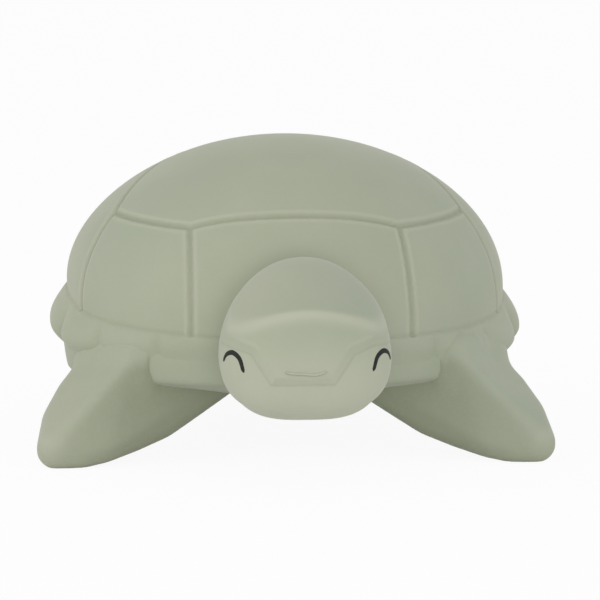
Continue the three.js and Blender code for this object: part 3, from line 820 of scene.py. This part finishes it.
# %% [markdown]
# The head is a rounded box: square and full at the jaw, rounder above, with a crown that slopes back
# from the brow. Modelling this by hand with loops is slow to correct, so each point of a ball is moved
# out to the surface that these sizes give. The crown is cut off softly by a sloping roof that is lower
# at the temples.

# %% Form of the head
HEAD_HALF_WIDTH = 16.8 * MM
HEAD_UP = 17.2 * MM
HEAD_DOWN = 18.2 * MM
HEAD_FORE = 14 * MM
HEAD_AFT = 13.5 * MM
HEAD_CENTRE = np.array([0, MIDDLE_Y - 56 * MM, 30.6 * MM])
CROWN_NARROWER = 1.3 * MM
CROWN_FULLNESS = 2.1
JAW_FULLNESS = 3.1
JAW_TO_CROWN = 0.4
BROW_HEIGHT = 5.3 * MM
CROWN_SLOPE = 0.62
CROWN_SIDE_DROP = 9.5 * MM
CROWN_ROUNDNESS = 2.0
CROWN_SOFTNESS = 0.7 * MM
TEMPLE_SOFTNESS = 1.8 * MM
NAPE_SOFTNESS = 4 * MM
TEMPLE_POWER = 6


def head_surface(direction, inset):
    """Places on the head, from its centre, along directions, and how far they were above the crown."""
    x, y, z = direction.T
    crown = eased((z + JAW_TO_CROWN) / (2 * JAW_TO_CROWN))
    across = HEAD_HALF_WIDTH - CROWN_NARROWER * crown - inset
    along = np.where(y < 0, HEAD_FORE, HEAD_AFT) - inset
    upright = np.where(z < 0, HEAD_DOWN, HEAD_UP) - inset
    full = JAW_FULLNESS + (CROWN_FULLNESS - JAW_FULLNESS) * crown
    total = np.abs(x / across) ** full + np.abs(y / along) ** full + np.abs(z / upright) ** full
    place = direction * (total ** (-1 / full))[:, None]
    sideways = np.abs(place[:, 0] / HEAD_HALF_WIDTH)
    side_drop = CROWN_SIDE_DROP * sideways**CROWN_ROUNDNESS
    soft = CROWN_SOFTNESS + (TEMPLE_SOFTNESS - CROWN_SOFTNESS) * sideways**TEMPLE_POWER
    soft = soft + NAPE_SOFTNESS * eased(place[:, 1] / HEAD_FORE + 0.75)
    top = BROW_HEIGHT - inset + (place[:, 1] + HEAD_FORE) * CROWN_SLOPE - side_drop
    gap = place[:, 2] - top
    place[:, 2] -= (gap + np.sqrt(gap * gap + soft**2)) / 2 * eased((z + 0.3) / 0.5)
    return place, gap


print("surface of the head is ready")

# %% [markdown]
# Brow and beak stand out from the cheeks by a soft bevelled step. The step is a distance to the outline
# of the beak, seen from the front, so its corners stay crisp however fine the mesh is. The beak sits
# about a millimetre to one side, as on the toy.

# %% Brow and beak
BEAK_STEP = 0.9 * MM
BEAK_BEVEL = 2.3 * MM
BEVEL_LEAD = 0.15 * MM
BEVEL_STRAIGHT = 0.6
BEAK_ASIDE = -1.2
BEAK_OUTLINE = np.array([
    (-40, -1.7),
    (-13.8, -1.7),
    (-9.8, -3),
    (-6, -8.8),
    (6, -8.8),
    (9.8, -3),
    (13.8, -1.7),
    (40, -1.7),
])
BEAK_OUTLINE = (BEAK_OUTLINE + (BEAK_ASIDE, 0)) * MM
STEP_FADE_START = 12 * MM
STEP_FADE_END = 15.8 * MM


def outline_distance(flat):
    """How far points seen from the front lie inside the beak and brow, negative outside."""
    nearest = np.full(len(flat), np.inf)
    for start, end in zip(BEAK_OUTLINE[:-1], BEAK_OUTLINE[1:]):
        run = end - start
        share = np.clip(((flat - start) @ run) / (run @ run), 0, 1)
        nearest = np.minimum(nearest, np.linalg.norm(flat - start - share[:, None] * run, axis=1))
    edge = np.interp(flat[:, 0], BEAK_OUTLINE[:, 0], BEAK_OUTLINE[:, 1])
    return np.where(flat[:, 1] > edge, nearest, -nearest)


def face_surface(direction):
    """Places on the head with its beak, and how far they lie inside the beak and above the crown."""
    rough, _ = head_surface(direction, np.full(len(direction), BEAK_STEP))
    inside = outline_distance(rough[:, [0, 2]])
    fades = eased((0.35 - direction[:, 1]) / 0.5)
    ramp = np.clip((inside + BEVEL_LEAD) / BEAK_BEVEL, 0, 1)
    proud = BEVEL_STRAIGHT * ramp + (1 - BEVEL_STRAIGHT) * eased(ramp)
    beside = eased((np.abs(rough[:, 0]) - STEP_FADE_START) / (STEP_FADE_END - STEP_FADE_START))
    inset = BEAK_STEP * (1 - proud * fades) * (1 - beside)
    place, above = head_surface(direction, inset)
    return HEAD_CENTRE + place, inside, above


print("outline of the beak:", len(BEAK_OUTLINE), "corners")

# %% [markdown]
# A cube blown up to a ball has no poles, so its even squares take the form of the head without
# pinching. The raised edges of brow and beak get a painted highlight, and the jaw and cheeks a painted
# light from below and in front. The foot of the step under the beak gets painted shade.

# %% Make the head
HEAD_STEPS = 104
EDGE_HIGHLIGHT = 0.6
EDGE_WIDTH = 0.6 * MM
BROW_HIGHLIGHT = 1.3
BROW_WIDTH = 1.2 * MM
BROW_BELOW = 0.5 * MM
JAW_LIGHT = 1.4
FOOT_SHADE = 0.6
FOOT_WIDTH = 0.25 * MM
FOOT_OUTSIDE = 0.1 * MM


def hump(value, middle, width):
    """One at the middle, falling softly to zero on both sides."""
    return np.exp(-(((value - middle) / width) ** 2))


def mark(lump, name, value):
    """Stores a number on each point of an object."""
    attribute = lump.data.attributes.new(name, "FLOAT", "POINT")
    attribute.data.foreach_set("value", np.array(value, np.float32))


def ball_directions(steps):
    """Directions of a cube that is blown up to a ball, with the faces between them."""
    lines = np.tan(np.linspace(-1, 1, steps + 1) * math.pi / 4)
    u, v = np.meshgrid(lines, lines, indexing="ij")
    one = np.ones_like(u)
    sides = [(u, v, one), (v, u, -one), (one, u, v), (-one, v, u), (v, one, u), (u, -one, v)]
    points = np.concatenate([np.stack(side, axis=-1).reshape(-1, 3) for side in sides])
    points /= np.linalg.norm(points, axis=1)[:, None]
    keys, places = np.unique(np.round(points, 6), axis=0, return_index=True)
    order = {tuple(key): i for i, key in enumerate(keys)}
    index = np.array([order[tuple(key)] for key in np.round(points, 6)])
    faces = []
    wide = steps + 1
    for side in range(6):
        for i in range(steps):
            for j in range(steps):
                a = side * wide * wide + i * wide + j
                faces.append((index[a], index[a + wide], index[a + wide + 1], index[a + 1]))
    return points[places], faces


def make_head():
    directions, faces = ball_directions(HEAD_STEPS)
    points, inside, above = face_surface(directions)
    head = new_object("head_form", points, faces)
    y, z = directions[:, 1], directions[:, 2]
    ahead = eased(-y / 0.4)
    # Painted highlight on the edges of beak and brow, painted light on the jaw, painted shade at the
    # foot of the step.
    edge = EDGE_HIGHLIGHT * hump(inside, BEAK_BEVEL, EDGE_WIDTH) * ahead
    brow = BROW_HIGHLIGHT * hump(above, -BROW_BELOW, BROW_WIDTH) * ahead
    lit_jaw = JAW_LIGHT * eased((0.2 - z) / 0.9) * eased((0.3 - y) / 0.6)
    foot = FOOT_SHADE * hump(inside, -FOOT_OUTSIDE, FOOT_WIDTH) * eased((0.1 - y) / 0.3)
    mark(head, "worn", np.maximum.reduce([edge, brow, lit_jaw]))
    mark(head, "groove", foot)
    smooth_faces(head, sage_rubber)
    return head


head_form = make_head()
print("head:", len(head_form.data.polygons), "faces")

# %% [markdown]
# A short neck joins the head to the shell. On the real toy it is the same rubber without a seam. Here
# it is a thick finger from inside the shell to inside the head, remeshed and smoothed.

# %% Neck
NECK_START = (0, MIDDLE_Y - 34 * MM, 24.5 * MM)
NECK_END = (0, MIDDLE_Y - 56 * MM, 29 * MM)
NECK_RADIUS = 10.8 * MM
NECK_VOXEL = 0.7 * MM
NECK_SMOOTHING = 4

neck = hull_of_balls("neck_form", [(NECK_START, NECK_RADIUS), (NECK_END, NECK_RADIUS)])
softened(neck, NECK_VOXEL, NECK_SMOOTHING)
print("neck:", len(neck.data.polygons), "faces")

# %% [markdown]
# Each eye is one stroke of paint, a closed smiling eye. It could be drawn in the material, but then its
# edge would depend on the texture's size. Here it is a thin ribbon of its own that follows the cheek,
# thickest in the middle and a hair above the rubber. These helpers lay such a ribbon along any line on
# the head.

# %% Ribbons on the head
END_TAPER = 14
END_WIDTH = 0.4
THIN_WIDTH = 0.8
NORMAL_STEP = 0.2 * MM
SEARCH_ROUNDS = 12


def smooth_line(points, count):
    """A smooth line through points, as a Catmull-Rom spline."""
    points = np.array(points, float)
    padded = np.concatenate([[2 * points[0] - points[1]], points, [2 * points[-1] - points[-2]]])
    line = []
    for at in np.linspace(0, len(points) - 1, count):
        i = min(int(at), len(points) - 2)
        t = at - i
        a, b, c, d = padded[i:i + 4]
        bend = 2 * a - 5 * b + 4 * c - d
        twist = 3 * b - a - 3 * c + d
        line.append((2 * b + (c - a) * t + bend * t**2 + twist * t**3) / 2)
    return np.array(line)


def on_face(points):
    """Moves points near the head out to its surface."""
    away = points - HEAD_CENTRE
    return face_surface(away / np.linalg.norm(away, axis=1)[:, None])[0]


def face_normals(points):
    """Outward directions of the head at points on it."""
    aside = np.array([NORMAL_STEP, 0, 0])
    above = np.array([0, 0, NORMAL_STEP])
    side = on_face(points + aside) - on_face(points - aside)
    rise = on_face(points + above) - on_face(points - above)
    normal = np.cross(side, rise)
    normal /= np.linalg.norm(normal, axis=1)[:, None]
    outward = np.sum(normal * (points - HEAD_CENTRE), axis=1)
    return normal * np.sign(outward)[:, None]


def ribbon(name, line, half_width, section, material):
    """A thin closed strip along a line on the head, with narrow ends."""
    count = len(line)
    run = np.gradient(line, axis=0)
    run /= np.linalg.norm(run, axis=1)[:, None]
    normal = face_normals(line)
    across = np.cross(normal, run)
    share = np.linspace(0, 1, count)
    ends = np.clip(np.minimum(share, 1 - share) * END_TAPER + END_WIDTH, 0, 1)
    width = half_width * ends * (THIN_WIDTH + (1 - THIN_WIDTH) * np.sin(share * math.pi))
    rows = []
    for place, lift in section:
        edge = on_face(line + across * (place * width)[:, None])
        rows.append(edge + normal * (lift * MM))
    points = np.stack(rows, axis=1).reshape(-1, 3)
    strip = new_object(name, points, tube_faces(count, len(section)))
    mesh = bmesh.new()
    mesh.from_mesh(strip.data)
    bmesh.ops.recalc_face_normals(mesh, faces=mesh.faces)
    mesh.to_mesh(strip.data)
    mesh.free()
    smooth_faces(strip, material)
    return strip


def seen_from_front(flat):
    """Places on the head with a given distance across and height, seen from the front."""
    guess = np.stack([flat[:, 0], np.full(len(flat), -HEAD_FORE), flat[:, 1]], axis=1)
    for _ in range(SEARCH_ROUNDS):
        found = on_face(HEAD_CENTRE + guess) - HEAD_CENTRE
        guess[:, 0] += flat[:, 0] - found[:, 0]
        guess[:, 2] += flat[:, 1] - found[:, 2]
    return on_face(HEAD_CENTRE + guess)


print("helpers for ribbons are ready")

# %% [markdown]
# The eyes sit far round on the cheeks, so their lines are given as bearings. A second, much finer
# ribbon is the trace of flash that the mould leaves along the lower edge of the beak, with a painted
# highlight on top and a painted shadow along its lower edge.

# %% Eyes and the trace on the beak
EYE_STROKE = [(50, -22.3), (53, -14), (59, -10.2), (65, -11.8), (69, -16.5)]
EYE_POINTS = 48
EYE_HALF_STROKE = 0.6 * MM
PAINT_SECTION = [(-1, -0.09), (-0.75, 0.03), (0, 0.06), (0.75, 0.03), (1, -0.09)]
BEAK_TRACE = np.array([(-4.7, -6.1), (-3.5, -6.4), (-1.1, -6.55), (1.3, -6.7), (3.2, -6.1)]) * MM
TRACE_POINTS = 60
TRACE_HALF_WIDTH = 0.34 * MM
FLASH_SECTION = [(-1, -0.1), (-0.5, 0.3), (0.1, 0.45), (0.6, 0.2), (1, -0.1)]
# Painted highlight on the upper rows of the trace, painted shadow on its lower rows.
FLASH_HIGHLIGHT = [0, 0, 1.6, 1.6, 1.6]
FLASH_SHADOW = [1.8, 1.8, 0, 0, 0]


def eye_line(side):
    """The line of an eye, from bearings round the head and angles above its middle."""
    places = []
    for round_degrees, up_degrees in smooth_line(EYE_STROKE, EYE_POINTS):
        bearing = math.radians(round_degrees)
        rise = math.radians(up_degrees)
        level = math.cos(rise)
        places.append((side * math.sin(bearing) * level, -math.cos(bearing) * level, math.sin(rise)))
    return face_surface(np.array(places))[0]


eyes = {}
for word, side in (("left", 1), ("right", -1)):
    name = "eye_stroke_" + word
    eyes["eye_" + word] = ribbon(name, eye_line(side), EYE_HALF_STROKE, PAINT_SECTION, eye_paint)

trace_line = seen_from_front(smooth_line(BEAK_TRACE, TRACE_POINTS))
beak_trace = ribbon("beak_trace", trace_line, TRACE_HALF_WIDTH, FLASH_SECTION, sage_rubber)
mark(beak_trace, "worn", FLASH_HIGHLIGHT * len(trace_line))
mark(beak_trace, "groove", FLASH_SHADOW * len(trace_line))
print("ribbons:", ", ".join(eyes), beak_trace.name)

# %% [markdown]
# The flippers are thick wedges. The toy stands on the tips and heels of all four. Each is the skin
# round a few balls at its corners, remeshed finely and smoothed, which gives the same soft edges that a
# carved master has. The soles are worn flat. The root lies inside the tub.

# %% Flippers
FOOT_FLAT = 0.5 * MM
ROOT_OUT = 34 * MM
FRONT_ROOT = {"angle": 50, "height": 16.3 * MM}
REAR_ROOT = {"angle": 140, "height": 16 * MM}
# Each ball in mm: out from the root, forward, radius, height. Without a height it stands on the ground.
FRONT_CORNERS = [
    (21.8, 15.5, 4, None),
    (17.5, 15.5, 3.2, None),
    (12.4, 14.3, 3, 3.4),
    (6.6, 11.4, 3, 5),
    (0.6, 8.6, 3, 7.1),
    (-4.4, 6, 3, 10),
    (-9.2, 3.6, 2.8, 13.4),
    (-12, 2.8, 2.8, 14.4),
    (6.8, 9.7, 2.1, 19.4),
    (11.3, 11.4, 2.4, 14.8),
    (16.6, 13.8, 2.6, 9.6),
    (14.2, -2, 4.5, 14.5),
    (17.4, 2, 4.3, 11.6),
    (20.4, 8, 4.2, 7.6),
    (20.4, 5, 4.2, None),
    (4, 2, 5.5, 13),
]
REAR_CORNERS = [
    (12.4, -17.2, 3.4, None),
    (5.4, -17.4, 3.1, None),
    (0.8, -12.5, 3, 5.4),
    (-3, -7, 4, 10.5),
    (14.6, -9, 3.4, None),
    (13, -6, 4, 8.4),
    (7, -5, 5, 12.5),
    (-2, 0, 6, 15.2),
]
FLIPPER_VOXEL = 0.5 * MM
FLIPPER_SMOOTHING = 24
CURVE_FROM = 40
CURVE_FULL = 190
CURVE_EVENED = 6
BEND_FROM = 11 * MM
BEND_TO = 26 * MM


def root_place(root, side):
    """Where a flipper leaves the shell."""
    bearing = math.radians(root["angle"])
    reach = FRONT_REACH if math.cos(bearing) > 0 else REAR_REACH
    x = side * ROOT_OUT * math.sin(bearing)
    return np.array([x, MIDDLE_Y - ROOT_OUT * math.cos(bearing) * reach / HALF_WIDTH, root["height"]])


def edge_ends(lump):
    ends = np.empty(len(lump.data.edges) * 2, np.int32)
    lump.data.edges.foreach_get("vertices", ends)
    return ends.reshape(-1, 2).T


def spread(lump, value, rounds):
    """Evens out a value on an object's points by mixing it with that of the neighbours."""
    a, b = edge_ends(lump)
    count = len(value)
    number = np.maximum(np.bincount(a, minlength=count) + np.bincount(b, minlength=count), 1)
    for _ in range(rounds):
        near = np.bincount(a, value[b], count) + np.bincount(b, value[a], count)
        value = (value + near / number) / 2
    return value


def mark_convex_edges(lump):
    """Stores how strongly the surface is bent outwards, as one over the radius of the bend."""
    place, normal = skin(lump)
    a, b = edge_ends(lump)
    count = len(place)
    run = place[b] - place[a]
    length = np.maximum(np.sum(run * run, axis=1), 1e-12)
    bend = np.sum(run * (normal[b] - normal[a]), axis=1) / length
    number = np.bincount(a, minlength=count) + np.bincount(b, minlength=count)
    total = np.bincount(a, bend, count) + np.bincount(b, bend, count)
    curvature = spread(lump, total / np.maximum(number, 1), CURVE_EVENED)
    # Convex edges turn paler, as wear and painted highlight.
    mark(lump, "worn", eased((curvature - CURVE_FROM) / (CURVE_FULL - CURVE_FROM)))


def make_flipper(name, root, corners, side):
    """A flipper, and where its bend starts and ends."""
    pivot = root_place(root, side)
    balls = []
    for out, fore, radius, height in corners:
        middle = (radius * MM - FOOT_FLAT) if height is None else height * MM
        balls.append(((pivot[0] + side * out * MM, pivot[1] - fore * MM, middle), radius * MM))
    lump = hull_of_balls(name, balls)
    softened(lump, FLIPPER_VOXEL, FLIPPER_SMOOTHING)
    for vert in lump.data.vertices:
        vert.co.z = max(vert.co.z, 0.0)
    mark_convex_edges(lump)
    tip = np.array([side * corners[0][0], -corners[0][1], 0]) * MM
    run = tip / np.linalg.norm(tip)
    return lump, pivot + run * BEND_FROM, pivot + run * BEND_TO


blades = {}
for place, root, corners in (("front", FRONT_ROOT, FRONT_CORNERS), ("rear", REAR_ROOT, REAR_CORNERS)):
    for word, side in (("left", 1), ("right", -1)):
        body = f"{place}_flipper_{word}"
        blades[body] = make_flipper(body + "_form", root, corners, side)
        print(body, len(blades[body][0].data.polygons), "faces")

# %% [markdown]
# The real toy is one moulding, so a flipper does not stop at the shell: its skin turns into the shell's
# in a soft fillet. A union with a bevel would weld together what has to move apart. Here the skin of
# the flipper climbs up the shell instead. Its new place is a parabola that leaves the flipper and meets
# the shell without a kink, whatever the angle between the two, and it ends a hair inside the shell.

# %% Rule of the fillets
FILLET_SUNK = 0.3 * MM
FILLET_EVENED = 8
LEVEL_LIMIT = 0.97


def tree_of(lumps):
    """A search tree of the skins of several objects."""
    points, faces = [], []
    for lump in lumps:
        first = len(points)
        points += [vert.co.copy() for vert in lump.data.vertices]
        faces += [[first + i for i in face.vertices] for face in lump.data.polygons]
    return BVHTree.FromPolygons(points, faces)


def nearest_skin(points, tree, reach):
    """Distance of each point from a skin, negative inside it, and the way that skin faces there."""
    away = np.full(len(points), np.inf)
    facing = np.zeros((len(points), 3))
    for i, point in enumerate(points):
        near, normal, _, distance = tree.find_nearest(Vector(point), reach)
        if near is not None:
            away[i] = distance if (Vector(point) - near).dot(normal) > 0 else -distance
            facing[i] = normal
    return away, facing


def fillet_offsets(lump, tree, reach):
    """How far each point of a skin moves out to make a fillet with another skin."""
    place, normal = skin(lump)
    away, facing = nearest_skin(place, tree, 2 * reach)
    level = np.clip(np.sum(normal * facing, axis=1), 0, LEVEL_LIMIT)
    slant = np.sqrt(1 - level**2)
    share = np.clip(1 - (away + FILLET_SUNK) / (slant * reach), 0, 1 + level)
    along = (1 - np.sqrt(1 - (1 - level) * share)) / (1 - level)
    height = spread(lump, slant * reach * along**2, FILLET_EVENED)
    return normal * height[:, None]


print("rule of the fillets is ready")

# %% [markdown]
# The fillets of the flippers fade out low down, near the neck and where the skin looks down, because
# the toy is crisp there. Where a flipper looks forwards or down close to the shell, it gets painted
# shade, and its paler edges fade out.

# %% Fillets and shelter
LIMB_FILLET = 5.5 * MM
NECK_FILLET = 4 * MM
FILLET_ABOVE = 10 * MM
ABOVE_FADE = 3 * MM
FILLET_ASIDE = 15 * MM
ASIDE_FADE = 6 * MM
LOOKS_DOWN = -0.55
DOWN_FADE = 0.5
SHELTER_REACH = 32 * MM
SHELTER_SHADE = 3
SHELTER_LOOK = 0.6
SHELTER_FADE = 0.8


def limb_offsets(lump, tree):
    """The fillet of a flipper, faded where the toy is crisp."""
    place, normal = skin(lump)
    aside = np.abs(place[:, 0])
    share = eased((place[:, 2] - FILLET_ABOVE) / ABOVE_FADE)
    share *= eased((normal[:, 2] - LOOKS_DOWN) / DOWN_FADE)
    share *= eased((aside - aside.min() - FILLET_ASIDE) / ASIDE_FADE)
    return fillet_offsets(lump, tree, LIMB_FILLET) * share[:, None]


def mark_sheltered(lump, tree):
    """Stores painted shade where the skin is sheltered by the shell, and fades its paler edges."""
    place, normal = skin(lump)
    away, _ = nearest_skin(place, tree, SHELTER_REACH)
    near = eased(1 - away / SHELTER_REACH)
    # Painted shade where the shell overhangs the flipper.
    mark(lump, "groove", SHELTER_SHADE * near * eased((SHELTER_LOOK - normal[:, 2]) / SHELTER_FADE))
    worn = lump.data.attributes["worn"]
    value = np.empty(len(place), np.float32)
    worn.data.foreach_get("value", value)
    worn.data.foreach_set("value", (value * (1 - near) ** 2).astype(np.float32))


def move_skin(lump, offsets):
    place, _ = skin(lump)
    lump.data.vertices.foreach_set("co", (place + offsets).ravel())
    lump.data.update()


blade_forms = [blade for blade, _, _ in blades.values()]
shell_skin = tree_of([carapace, belly_tub])
head_skin = tree_of([head_form])
for blade in blade_forms:
    mark_sheltered(blade, shell_skin)
    move_skin(blade, limb_offsets(blade, shell_skin))
at_shell = fillet_offsets(neck, shell_skin, NECK_FILLET)
at_head = fillet_offsets(neck, head_skin, NECK_FILLET)
move_skin(neck, at_shell + at_head)
print("fillets on", len(blade_forms), "flippers and the neck")

# %% [markdown]
# Now the shell's pieces ride on the shell's body, and the eyes and the trace on the beak ride on the
# head's. The head, the neck and the flippers keep their places in the world. Each measured solid that a
# new piece replaces is hidden.

for piece, node in ((carapace, "upper_shell"), (belly_tub, "lower_shell"), (plug, "belly_plug")):
    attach(piece, "shell")
    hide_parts(node)
for piece in (head_form, neck):
    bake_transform(piece)
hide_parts("head")
for body, (blade, bend_start, bend_end) in blades.items():
    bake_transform(blade)
    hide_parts(body)
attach(beak_trace, "head")
for node, eye in eyes.items():
    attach(eye, "head")
    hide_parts(node)

# %% [markdown]
# A pale floor holds the toy's soft shadow. Seen by the camera it is lightened towards white, as a
# studio sweep is, while it still gives its plain light back to the underside of the toy. The world does
# the same: white to the camera, and a dim even fill for everything else.

# %% Floor and world
FLOOR_SIZE = 6.0
FLOOR_COLOUR = (0.93, 0.93, 0.92, 1)
FLOOR_LIFT = 0.93
WHITE = (1, 1, 1, 1)
FILL = (0.95, 0.98, 1.0, 1)
FILL_STRENGTH = 0.68


def seen_directly(start):
    """One for rays from the camera, and for those that a gloss or glass passes on."""
    node = start.tree.nodes.new("ShaderNodeLightPath")
    camera = Wire(start.tree, node.outputs["Is Camera Ray"])
    glossy = Wire(start.tree, node.outputs["Is Glossy Ray"])
    glass = Wire(start.tree, node.outputs["Is Transmission Ray"])
    return camera.most(glossy).most(glass)


def make_floor():
    half = FLOOR_SIZE / 2
    corners = [(-half, -half, 0), (half, -half, 0), (half, half, 0), (-half, half, 0)]
    floor = new_object("floor", corners, [(0, 1, 2, 3)])
    material, tree, shader = new_material("pale_floor")
    start = Wire(tree)
    shader.inputs["Base Color"].default_value = FLOOR_COLOUR
    shader.inputs["Roughness"].default_value = 0.9
    glow = start.add("ShaderNodeEmission", sockets={"Color": WHITE, "Strength": 1.0})
    body = Wire(tree, shader.outputs[0])
    sockets = {0: seen_directly(start) * FLOOR_LIFT, 1: body, 2: glow}
    mixed = start.add("ShaderNodeMixShader", sockets=sockets)
    tree.links.new(mixed.socket, tree.nodes["Material Output"].inputs["Surface"])
    floor.data.materials.append(material)
    return floor


def make_world():
    world = bpy.data.worlds.new("studio")
    bpy.context.scene.world = world
    world.use_nodes = True
    tree = world.node_tree
    start = Wire(tree)
    fill = tree.nodes["Background"]
    fill.inputs["Color"].default_value = FILL
    fill.inputs["Strength"].default_value = FILL_STRENGTH
    white = start.add("ShaderNodeBackground", sockets={"Color": WHITE, "Strength": 1.0})
    sockets = {0: seen_directly(start), 1: Wire(tree, fill.outputs[0]), 2: white}
    mixed = start.add("ShaderNodeMixShader", sockets=sockets)
    tree.links.new(mixed.socket, tree.nodes["World Output"].inputs["Surface"])


make_floor()
make_world()
print("floor and world are ready")

# %% [markdown]
# The light is that of a product table: a soft lamp low in front, a weaker one high on the left and a
# faint one on the right. Big round lamps give the even, almost shadowless look of the real thing.

# %% Lamps
LAMP_AIM = Vector((0, 0, 0.03))
# Each lamp: its place and its size in metres, and its power in watts.
LAMPS = {
    "front_lamp": ((0.0, -1.5, 0.2), 0.6, 5.6),
    "left_lamp": ((-1.2, -0.35, 0.65), 0.8, 3.4),
    "right_lamp": ((1.2, -0.3, 0.6), 0.8, 0.9),
}


def add_lamp(name, place, size, power):
    light = bpy.data.lights.new(name, "AREA")
    light.shape = "DISK"
    light.size = size
    light.energy = power
    lamp = linked(name, light)
    lamp.location = place
    lamp.rotation_euler = (LAMP_AIM - Vector(place)).to_track_quat("-Z", "Y").to_euler()


for lamp_name, (place, size, power) in LAMPS.items():
    add_lamp(lamp_name, place, size, power)
print("lamps:", ", ".join(LAMPS))

# %% [markdown]
# The camera stands in front of the nose, a little to one side and nine degrees up, far away with a long
# lens. Its aim is chosen so that the toy sits in the square frame as it does in the product picture.

# %% Camera
VIEW_YAW = math.radians(4.1)
VIEW_RISE = math.radians(9.0)
VIEW_DISTANCE = 0.89
PIXELS = 600
SENSOR = 36.0
PIXELS_PER_METRE = 4850
PIVOT_PIXEL = (285, 306)


def add_camera():
    level = math.cos(VIEW_RISE)
    back = Vector((-math.sin(VIEW_YAW) * level, -math.cos(VIEW_YAW) * level, math.sin(VIEW_RISE)))
    turn = (-back).to_track_quat("-Z", "Y")
    right = turn @ Vector((1, 0, 0))
    up = turn @ Vector((0, 1, 0))
    pivot = Vector((0, MIDDLE_Y, RIM_HEIGHT))
    aim = pivot + right * ((PIXELS / 2 - PIVOT_PIXEL[0]) / PIXELS_PER_METRE)
    aim += up * ((PIVOT_PIXEL[1] - PIXELS / 2) / PIXELS_PER_METRE)
    data = bpy.data.cameras.new("front_camera")
    data.sensor_width = SENSOR
    data.lens = PIXELS_PER_METRE * VIEW_DISTANCE * SENSOR / PIXELS
    camera = linked("front_camera", data)
    camera.location = aim + back * VIEW_DISTANCE
    camera.rotation_euler = turn.to_euler()
    bpy.context.scene.camera = camera
    return camera


camera = add_camera()
bpy.context.scene.view_settings.view_transform = "Standard"
print("camera lens", round(camera.data.lens, 1), "mm")
